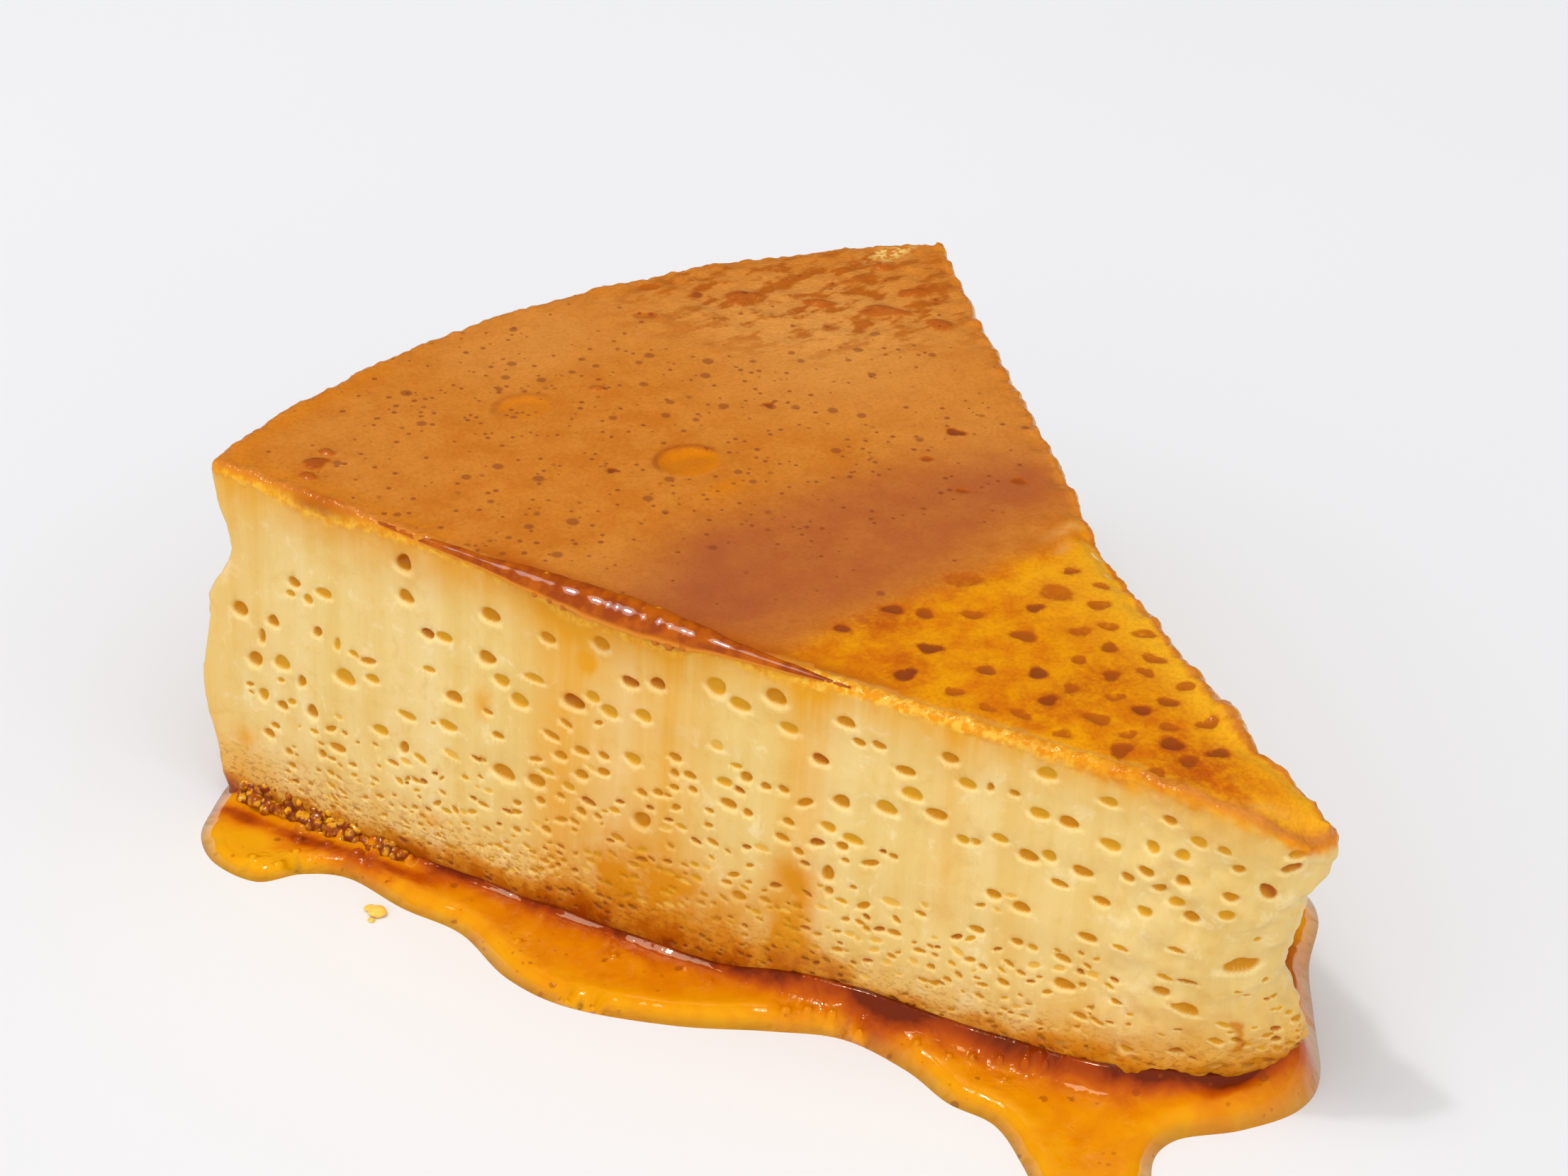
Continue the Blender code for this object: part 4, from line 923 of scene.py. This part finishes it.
pool_edge = round_trip(pool_edge_points)[::-1]
pool_plan = scatter((-53.0, -74.0), (50.0, 52.0), 0.75)
pool_plan = pool_plan[inside_loop(pool_plan, pool_edge)]
pool_plan = pool_plan[from_loop(pool_plan, pool_edge) > 1.6]
along = np.roll(pool_edge, -1, 0) - np.roll(pool_edge, 1, 0)
along /= np.linalg.norm(along, axis=1)[:, None]
inner_rings = [pool_edge + np.stack([-along[:, 1], along[:, 0]], 1) * inset for inset in (0.12, 0.3, 0.55, 0.9, 1.3)]
inner_rings = np.vstack(inner_rings)
inner_rings = inner_rings[inside_loop(inner_rings, pool_edge)]
ring_depth = from_loop(inner_rings, pool_edge)
inner_rings = inner_rings[ring_depth > 0.09]
foot_line = slice_outline(0.03, 1.0)[0]
foot_rings = []
line_along = np.roll(foot_line, -1, 0) - np.roll(foot_line, 1, 0)
line_along /= np.linalg.norm(line_along, axis=1)[:, None]
for inset in (-2.2, -1.75, -1.35, -1.0, -0.7, -0.42, -0.18, 0.05, 0.5):
    foot_rings.append(foot_line + np.stack([line_along[:, 1], -line_along[:, 0]], 1) * inset)
foot_rings = np.vstack(foot_rings)
foot_rings = foot_rings[inside_loop(foot_rings, pool_edge)]
foot_rings = foot_rings[from_loop(foot_rings, pool_edge) > 1.7]
pool_plan = pool_plan[from_loop(pool_plan, foot_line) > 2.5]
# Blisters of froth that stand on the pool: (x, y, radius, height).
pool_domes = [
    (-42.0, 24.0, 0.75, 0.5), (-43.2, 22.6, 0.5, 0.35), (-40.4, 16.6, 0.7, 0.55), (-39.2, 15.6, 0.65, 0.5),
    (-38.4, 17.0, 0.6, 0.5), (-41.6, 20.0, 0.5, 0.35), (-37.6, -13.2, 0.5, 0.35), (-36.3, -15.4, 0.5, 0.35),
    (-35.4, -17.2, 0.5, 0.35), (-23.6, -26.4, 0.55, 0.4), (-22.2, -27.6, 0.5, 0.35), (-21.0, -29.4, 0.5, 0.35),
    (-20.3, -32.2, 0.45, 0.35), (-36.0, -3.6, 0.35, 0.25), (-30.4, -10.4, 0.35, 0.25), (-13.6, -42.8, 0.4, 0.3),
    (-12.4, -44.6, 0.45, 0.35), (-15.0, -41.0, 0.4, 0.3), (-11.4, -46.0, 0.35, 0.3), (-48.2, 22.2, 0.4, 0.3),
    (-47.0, 19.6, 0.5, 0.3), (-44.6, 20.6, 0.4, 0.3), (-39.9, 20.4, 0.55, 0.4), (-37.2, 12.8, 0.5, 0.4),
    (-16.4, -39.6, 0.35, 0.25), (-10.2, -47.4, 0.35, 0.25), (-14.4, -44.4, 0.3, 0.25), (-17.6, -36.8, 0.35, 0.25),
]
dome_rings = [
    np.array([(cx + radius * out * math.cos(k), cy + radius * out * math.sin(k)) for out in (1.02, 0.9, 0.65, 0.35)
              for k in np.arange(0, 2 * math.pi, 0.5)] + [(cx, cy)])
    for cx, cy, radius, rise in pool_domes
]
pool_points = np.vstack([inner_rings, pool_plan, foot_rings])
for cx, cy, radius, rise in pool_domes:
    pool_points = pool_points[np.hypot(pool_points[:, 0] - cx, pool_points[:, 1] - cy) > radius * 1.15]
pool_points = np.vstack([pool_edge, pool_points] + dome_rings)
keep = np.ones(len(pool_points), bool)
keep[len(pool_edge):] = inside_loop(pool_points[len(pool_edge):], pool_edge)
pool_points = pool_points[keep]
pool_faces = triangles(pool_points, list(range(len(pool_edge))))

x, y = pool_points[:, 0], pool_points[:, 1]
rim_gap = from_loop(pool_points, pool_edge)
rim_gap[: len(pool_edge)] = 0
foot_gap = from_loop(pool_points, foot_line)
under = inside_loop(pool_points, foot_line)
foot_gap[under] *= -1
flat_xyz = np.stack([x, y, 0 * x], 1)
thickness = 1.1 + 1.3 * smooth(1.2 - np.hypot(x - 8, y + 56) / 18) + 0.3 * smooth(1 - np.hypot(x + 20, y + 30) / 20)
thickness -= 0.35 * smooth(1 - np.hypot(x + 46, y - 26) / 12)
thickness += 0.8 * smooth(1.4 - np.hypot((x - 7) / 4.5, (y + 57) / 4.5))
rim_width = 0.7 + 0.7 * thickness
round_over = np.sqrt(np.clip(1 - (1 - np.clip(rim_gap / rim_width, 0, 1)) ** 2, 0, 1))
pool_z = thickness * round_over
pool_z -= 0.28 * smooth((rim_gap - 1.6) / 3.0)
pool_z += 0.1 * smooth(rim_gap / 2) * ripple(flat_xyz, 6.0, 41) + 0.02 * ripple(flat_xyz, 1.6, 42) * smooth(rim_gap)
from_cut = np.hypot(x, y + 60)
climb = 0.75 + 1.7 * smooth((50 - from_cut) / 10) * smooth((from_cut - 1) / 8) + 0.15 * ripple(flat_xyz, 4.0, 43)
climb *= 1 - 0.6 * smooth(1 - np.hypot(x + 42, y - 33) / 10)
pool_z += climb * np.exp(-np.clip(foot_gap, 0, None) / 0.9) * smooth(rim_gap / 1.2)
pool_z = np.where(foot_gap < 0.02, pool_z * (1 - smooth(-foot_gap / 0.9)) + 0.2 * smooth(-foot_gap / 0.9), pool_z)
for cx, cy, radius, rise in pool_domes:
    out = np.hypot(x - cx, y - cy) / radius
    pool_z += rise * np.sqrt(np.clip(1 - out**2, 0, 1)) * (foot_gap > -0.2)
pool_z = np.maximum(pool_z, 0.02)
pool_z[: len(pool_edge)] = 0.0

pool_xyz = np.column_stack([x, y, pool_z])
base_ring = len(pool_edge)
pool_all = np.vstack([pool_xyz, np.column_stack([pool_edge, np.zeros(base_ring)])])
bottom = triangles(pool_edge, list(range(base_ring)))
pool_mesh_faces = list(pool_faces) + [(a, c, b) for a, b, c in bottom]

gap = np.clip(foot_gap, 0, None)
depth_and_shadow_tone = 0.1 + 0.22 * smooth(rim_gap / 5.5) + 0.28 * np.exp(-(gap / 1.9) ** 1.8)
depth_and_shadow_tone += 0.26 * np.exp(-((gap / 0.8) ** 2)) + 0.12 * np.exp(-((gap / 5.0) ** 2))
# The second term darkens the pool right of the tip: partly deeper caramel, partly painted shadow of the slice.
depth_and_shadow_tone += 0.85 * smooth(1.1 - np.hypot((x - 3) / 7, (y + 56.4 - 0.3 * x) / 2.3)) + 0.3 * smooth(1 - np.hypot(x - 17, y + 48) / 14)
depth_and_shadow_tone += 0.5 * np.exp(-(((gap - 2.6) / 1.0) ** 2)) * (x < -30) * smooth((y - 6) / 6)
depth_and_shadow_tone -= 0.4 * np.exp(-(((gap - 0.8) / 1.0) ** 2)) * (x < -30) * smooth((y - 10) / 5)
depth_and_shadow_tone -= 0.22 * smooth(1.2 - np.hypot((x + 46) / 6, (y - 22) / 7)) * smooth((gap - 4) / 2)
depth_and_shadow_tone += 0.34 * smooth(1.2 - np.hypot(x + 18.6, y + 33) / 4.5)
depth_and_shadow_tone -= 0.3 * smooth(1.2 - np.hypot(x + 45.6, y - 25.5) / 3.4)
depth_and_shadow_tone += 0.09 * ripple(flat_xyz, 7, 44) + 0.08 * ripple(flat_xyz, 2.5, 45, 3)
depth_and_shadow_tone *= smooth(rim_gap / 0.9) * 0.5 + 0.5
choppy = np.zeros(len(x))
for cx, cy, wide in ((-38, -14.5, 3.5), (-35.5, -18, 3), (-22.4, -27.4, 4), (-20.5, -32.5, 3), (-45, 20.5, 4), (-13.6, -43.5, 4.5), (-40.5, 15.5, 3)):
    choppy += smooth(1.3 - np.hypot(x - cx, y - cy) / wide)
depth_and_shadow_tone = np.clip(depth_and_shadow_tone + 0.05 * np.clip(choppy, 0, 1), 0, 1.15)
pad = np.zeros(base_ring)
pool = make_piece("flan_caramel_pool", pool_all * MM, pool_mesh_faces, dict(
    deep=np.concatenate([depth_and_shadow_tone, pad]), rim_gap=np.concatenate([rim_gap, pad]),
    choppy=np.concatenate([choppy, pad]),
))

pool_finish, tree, shader = new_material("caramel_syrup")
where = place(tree)
drift = cloud(tree, where, 4.0, 4.0, 0.6, 0.6)
tone = maths(tree, "ADD", mask(tree, "deep"), ease(tree, drift, 0.25, 0.75, -0.12, 0.12))
ramp = add(tree, "ShaderNodeValToRGB", {"Fac": tone})
stops = [
    (0.0, shade(226, 156, 0)), (0.25, shade(222, 138, 0)), (0.45, shade(210, 118, 0)), (0.65, shade(184, 80, 0)),
    (0.85, shade(150, 52, 0)), (1.0, shade(104, 28, 2)),
]
while len(ramp.color_ramp.elements) < len(stops):
    ramp.color_ramp.elements.new(0.5)
for element, (spot, colour) in zip(ramp.color_ramp.elements, stops):
    element.position, element.color = spot, colour
dots = specks(tree, where, 1.5, maths(tree, "MULTIPLY", ease(tree, drift, 0.35, 0.65), 0.3))
pool_colour = blend(tree, maths(tree, "MULTIPLY", dots, 0.55), ramp.outputs[0], shade(140, 54, 2))
tiny_dots = specks(tree, where, 0.8, maths(tree, "MULTIPLY", ease(tree, drift, 0.4, 0.7), 0.35))
pool_colour = blend(tree, maths(tree, "MULTIPLY", tiny_dots, 0.4), pool_colour, shade(150, 62, 2))
chop = maths(tree, "MULTIPLY", cloud(tree, where, 0.7, 2.0), maths(tree, "MULTIPLY", mask(tree, "choppy"), 0.17))
swell = maths(tree, "ADD", maths(tree, "MULTIPLY", cloud(tree, where, 2.2, 2.0), 0.13), chop)
waves = add(tree, "ShaderNodeBump", {"Strength": 0.7, "Distance": 0.001, "Height": swell})
tree.links.new(pool_colour, shader.inputs["Base Color"])
tree.links.new(ease(tree, drift, 0.3, 0.7, 0.03, 0.05), shader.inputs["Roughness"])
tree.links.new(waves.outputs[0], shader.inputs["Normal"])
shader.inputs["IOR"].default_value = 1.42
shader.inputs["Specular IOR Level"].default_value = 0.6
shader.inputs["Specular Tint"].default_value = (1.0, 0.82, 0.55, 1.0)
pool.data.materials.append(pool_finish)
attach(pool, "root")
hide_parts("caramel_pool")


# ---------------------------------------------------------------------------------------------
# Syrup on the slice: a bead of runny caramel that has gathered along the front of the top edge,
# with froth bubbles in it. It clings by its own thickness.
# ---------------------------------------------------------------------------------------------
def bead_piece(name, path, across, up, sizes, around=14):
    """A closed tapered bead along a path, with its half-widths across and up at each point."""
    path, sizes = np.asarray(path), np.asarray(sizes)
    angle = np.arange(around) * 2 * math.pi / around
    rings = [
        spot + np.cos(angle)[:, None] * side * wide + np.sin(angle)[:, None] * rise * tall
        for spot, side, rise, (wide, tall) in zip(path, across, up, sizes)
    ]
    count = len(path)
    points = np.vstack(rings + [path[:1], path[-1:]])
    made = []
    for i in range(count - 1):
        for j in range(around):
            a, b = i * around + j, i * around + (j + 1) % around
            made += [(a, b, b + around), (a, b + around, a + around)]
    for j in range(around):
        made.append((count * around, (j + 1) % around, j))
        made.append((count * around + 1, (count - 1) * around + j, (count - 1) * around + (j + 1) % around))
    return points, made


bead_keys = [(38, 0.1), (44, 0.4), (49, 0.75), (53, 1.2), (58, 1.45), (64, 1.3), (69, 0.9), (75, 0.5), (86, 0.12)]
reaches = np.arange(38, 86, 0.3)
bead_u = np.array([wall_place(r, top_height(0) - 2)[0] for r in reaches])
bead_mid = on_wall(bead_u, np.full(len(reaches), wall_top - 0.55))
cut_out = wall_normal(bead_u, np.full(len(reaches), wall_top - 4.0)) * (1, 1, 0)
face_up = cut_out * 0.56 + np.array([0, 0, 0.83])          # the bead's broad face leans out and up
down_slope = cut_out * 0.83 - np.array([0, 0, 0.56])
size = np.array([eased(bead_keys, r) for r in reaches])
wobble, sway = ripple(bead_mid, 4.0, 51), ripple(bead_mid, 2.2, 52)
bead_sizes = np.stack([size * (1.2 + 0.15 * wobble), size * (0.46 + 0.1 * sway)], 1)
bead_mid += down_slope * (size * 0.05 + 0.1 * sway * size)[:, None] - face_up * (size * 0.12)[:, None]
points, made = bead_piece("bead", bead_mid, down_slope, face_up, bead_sizes)
lower = np.tile(0.5 + 0.5 * np.cos(np.arange(14) * 2 * math.pi / 14), len(reaches))
bead = make_piece("flan_syrup_bead", points * MM, made, {"lower": np.append(lower, [0.5, 0.5])})

syrup_finish, tree, shader = new_material("dark_syrup")
where = place(tree)
thick = cloud(tree, where, 1.8, 3.0, 0.6)
syrup_colour = blend(tree, ease(tree, thick, 0.35, 0.65), shade(176, 84, 0), shade(146, 58, 0))
syrup_colour = blend(tree, ease(tree, mask(tree, "lower"), 0.84, 1.0), syrup_colour, shade(218, 132, 12))
syrup_dots = specks(tree, where, 1.2, 0.12)
syrup_colour = blend(tree, maths(tree, "MULTIPLY", syrup_dots, 0.6), syrup_colour, shade(230, 160, 30))
tree.links.new(syrup_colour, shader.inputs["Base Color"])
tree.links.new(ease(tree, thick, 0.2, 0.8, 0.04, 0.1), shader.inputs["Roughness"])
shader.inputs["IOR"].default_value = 1.4
bead.data.materials.append(syrup_finish)
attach(bead, "root")


def lumps(name, spots, detail=2, seed=60):
    """Small rounded lumps run together: (x, y, z, radius, squash) each, in mm."""
    mesh = bpy.data.meshes.new(name)
    shape = bmesh.new()
    for index, (cx, cy, cz, radius, squash) in enumerate(spots):
        made = bmesh.ops.create_icosphere(shape, subdivisions=detail, radius=radius)["verts"]
        for vert in made:
            spread = 1 + 0.22 * noise.noise(vert.co / (radius * 1.1) + Vector((index * 3.1, seed, 0)))
            vert.co = Vector((vert.co.x * spread + cx, vert.co.y * spread + cy, vert.co.z * spread * squash + cz)) * MM
    shape.to_mesh(mesh)
    shape.free()
    mesh.shade_smooth()
    piece = bpy.data.objects.new(name, mesh)
    bpy.context.scene.collection.objects.link(piece)
    return piece


# ---------------------------------------------------------------------------------------------
# The froth at the left foot: caramel that foamed and set in lumps where the slice meets the pool.
# ---------------------------------------------------------------------------------------------
froth_dice = np.random.default_rng(8)
froth_spots = []
for _ in range(190):
    r, h = froth_dice.uniform(82, 102), 0.7 + abs(froth_dice.normal()) * 0.9
    if h > 3.0 or (r < 88 and h > 1.7):
        continue
    u1, w1 = wall_place(r, max(h, 0.6))
    out = froth_dice.uniform(-0.35, -0.05) + froth_dice.uniform(0, 1.1) * (h < 1.7)
    spot = on_wall([u1], [w1])[0] + wall_normal(np.array([u1]), np.array([w1]))[0] * out
    froth_spots.append((*spot, froth_dice.uniform(0.3, 0.72), froth_dice.uniform(0.6, 1.0)))
froth = lumps("flan_foot_froth", froth_spots, 2)
melt = froth.modifiers.new("melt", "REMESH")
melt.mode, melt.voxel_size, melt.use_smooth_shade = "VOXEL", 0.00014, True
even = froth.modifiers.new("even", "SMOOTH")
even.factor, even.iterations = 0.5, 7
bpy.context.view_layer.update()
melted = bpy.data.meshes.new_from_object(froth.evaluated_get(bpy.context.evaluated_depsgraph_get()))
froth.modifiers.clear()
froth.data = melted
centres, radii = np.array([spot[:3] for spot in froth_spots]), np.array([spot[3] for spot in froth_spots])
melted_points = np.array([vert.co for vert in melted.vertices]) / MM
# Painted shade: the froth is darkened in the crevices between its lumps.
painted_crevice_shade = np.array([np.min(np.linalg.norm(centres - p, axis=1) / radii) for p in melted_points])
creased = melted.attributes.new("painted_crevice_shade", "FLOAT", "POINT")
creased.data.foreach_set("value", smooth((painted_crevice_shade - 0.74) / 0.3).astype(np.float32))
froth_finish, tree, shader = new_material("set_froth")
where = place(tree)
foam = cloud(tree, where, 1.1, 3.0, 0.6)
foam_colour = blend(tree, ease(tree, foam, 0.4, 0.58), shade(224, 158, 26), shade(160, 74, 0))
# Painted shade in the froth's crevices.
foam_colour = blend(tree, ease(tree, mask(tree, "painted_crevice_shade"), 0.25, 0.9), foam_colour, shade(124, 46, 0))
tree.links.new(foam_colour, shader.inputs["Base Color"])
tree.links.new(ease(tree, foam, 0.2, 0.8, 0.05, 0.14), shader.inputs["Roughness"])
shader.inputs["Subsurface Weight"].default_value = 0.3
shader.inputs["Subsurface Radius"].default_value = (1.0, 0.5, 0.15)
shader.inputs["Subsurface Scale"].default_value = 0.001
shader.inputs["IOR"].default_value = 1.42
froth.data.materials.append(froth_finish)
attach(froth, "root")

# ---------------------------------------------------------------------------------------------
# Bubbles and drops: clear blisters caught in the bead, and one stray drop.
# ---------------------------------------------------------------------------------------------
bubble_spots = []
for r, rise, radius in ((53.2, 0.1, 0.42), (54.6, -0.2, 0.5), (56.0, -0.3, 0.4), (65.0, 0.0, 0.36), (66.4, 0.1, 0.34), (68.0, 0.1, 0.3)):
    u1, w1 = wall_place(r, top_height(0) - 2)
    spot = on_wall([u1], [wall_top - 1.5 + rise])[0]
    side = wall_normal(np.array([u1]), np.array([wall_top - 1.5]))[0]
    bubble_spots.append((*(spot + side * 0.55), radius, 0.9))
bubbles = lumps("flan_bubbles", bubble_spots, 2)
amber = bubbles.data.attributes.new("lower", "FLOAT", "POINT")
amber.data.foreach_set("value", np.full(len(bubbles.data.vertices), 0.9, np.float32))
bubbles.data.materials.append(syrup_finish)
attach(bubbles, "root")

drop = lumps("flan_stray_drop", [(-43.2, 8.6, 0.3, 0.85, 0.45), (-43.4, 9.6, 0.2, 0.55, 0.4), (-44.2, 8.0, 0.12, 0.35, 0.4)], 3)
drop_finish, tree, shader = new_material("thin_drop")
drop_colour = blend(tree, cloud(tree, place(tree), 1.0, 2.0), shade(250, 204, 96), shade(244, 184, 60))
tree.links.new(drop_colour, shader.inputs["Base Color"])
shader.inputs["Roughness"].default_value = 0.08
drop.data.materials.append(drop_finish)
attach(drop, "root")


# ---------------------------------------------------------------------------------------------
# The table, the camera and a soft studio light from the camera's left.
# ---------------------------------------------------------------------------------------------
table = bpy.data.meshes.new("table")
table.from_pydata([(-3, -3, 0), (3, -3, 0), (3, 3, 0), (-3, 3, 0)], [], [(0, 1, 2, 3)])
table_top = bpy.data.objects.new("table", table)
bpy.context.scene.collection.objects.link(table_top)
table_finish, tree, shader = new_material("white_table")
pale = blend(tree, cloud(tree, place(tree), 90.0, 2.0), shade(230, 230, 232), shade(228, 228, 231))
tree.links.new(pale, shader.inputs["Base Color"])
shader.inputs["Roughness"].default_value = 0.7
shader.inputs["Specular IOR Level"].default_value = 0.1
table.materials.append(table_finish)

camera_data = bpy.data.cameras.new("camera")
camera_data.lens, camera_data.sensor_width = 73.24, 36.0
camera_data.clip_start, camera_data.clip_end = 0.01, 20.0
camera = bpy.data.objects.new("camera", camera_data)
stand, aim = Vector((-0.1607, -0.2009, 0.1659)), Vector((0.0235, 0.0351, 0.0))
level_turn = (aim - stand).to_track_quat("-Z", "Y").to_matrix().to_4x4()
camera.matrix_world = Matrix.Translation(stand) @ level_turn @ Matrix.Rotation(math.radians(0.87), 4, "Z")
bpy.context.scene.collection.objects.link(camera)
bpy.context.scene.camera = camera

shine = Vector((0.341, -0.271, -1.0)).normalized()
key_data = bpy.data.lights.new("softbox", "AREA")
key_data.shape, key_data.size, key_data.size_y = "RECTANGLE", 0.52, 0.38
key_data.energy = 3.7
key = bpy.data.objects.new("softbox", key_data)
key.location = Vector((0, 0, 0.02)) - shine * 1.6
key.rotation_euler = shine.to_track_quat("-Z", "Y").to_euler()
bpy.context.scene.collection.objects.link(key)
glint_data = bpy.data.lights.new("lamp", "AREA")
glint_data.shape, glint_data.size = "DISK", 0.1
glint_data.energy = 3.7
glint = bpy.data.objects.new("lamp", glint_data)
glint.matrix_world = Matrix.Translation(Vector((0, 0, 0.02)) - shine * 1.5) @ shine.to_track_quat("-Z", "Y").to_matrix().to_4x4()
bpy.context.scene.collection.objects.link(glint)

room = bpy.data.worlds.new("studio")
room.use_nodes = True
sky = room.node_tree.nodes["Background"]
facing = add(room.node_tree, "ShaderNodeTexCoord").outputs["Generated"]
toward = add(room.node_tree, "ShaderNodeVectorMath", {0: facing, 1: (-0.615, -0.788, 0.15)}, operation="DOT_PRODUCT")
sky_light = ease(room.node_tree, toward.outputs["Value"], -0.9, 0.9, 0.2, 1.4)
glossy = add(room.node_tree, "ShaderNodeLightPath").outputs["Is Glossy Ray"]
dimmed = maths(room.node_tree, "MULTIPLY_ADD", glossy, -0.65, 1.0)
room.node_tree.links.new(maths(room.node_tree, "MULTIPLY", sky_light, dimmed), sky.inputs["Strength"])
sky.inputs["Color"].default_value = (1.0, 1.0, 1.0, 1.0)
bpy.context.scene.world = room
bpy.context.scene.view_settings.view_transform = "Standard"
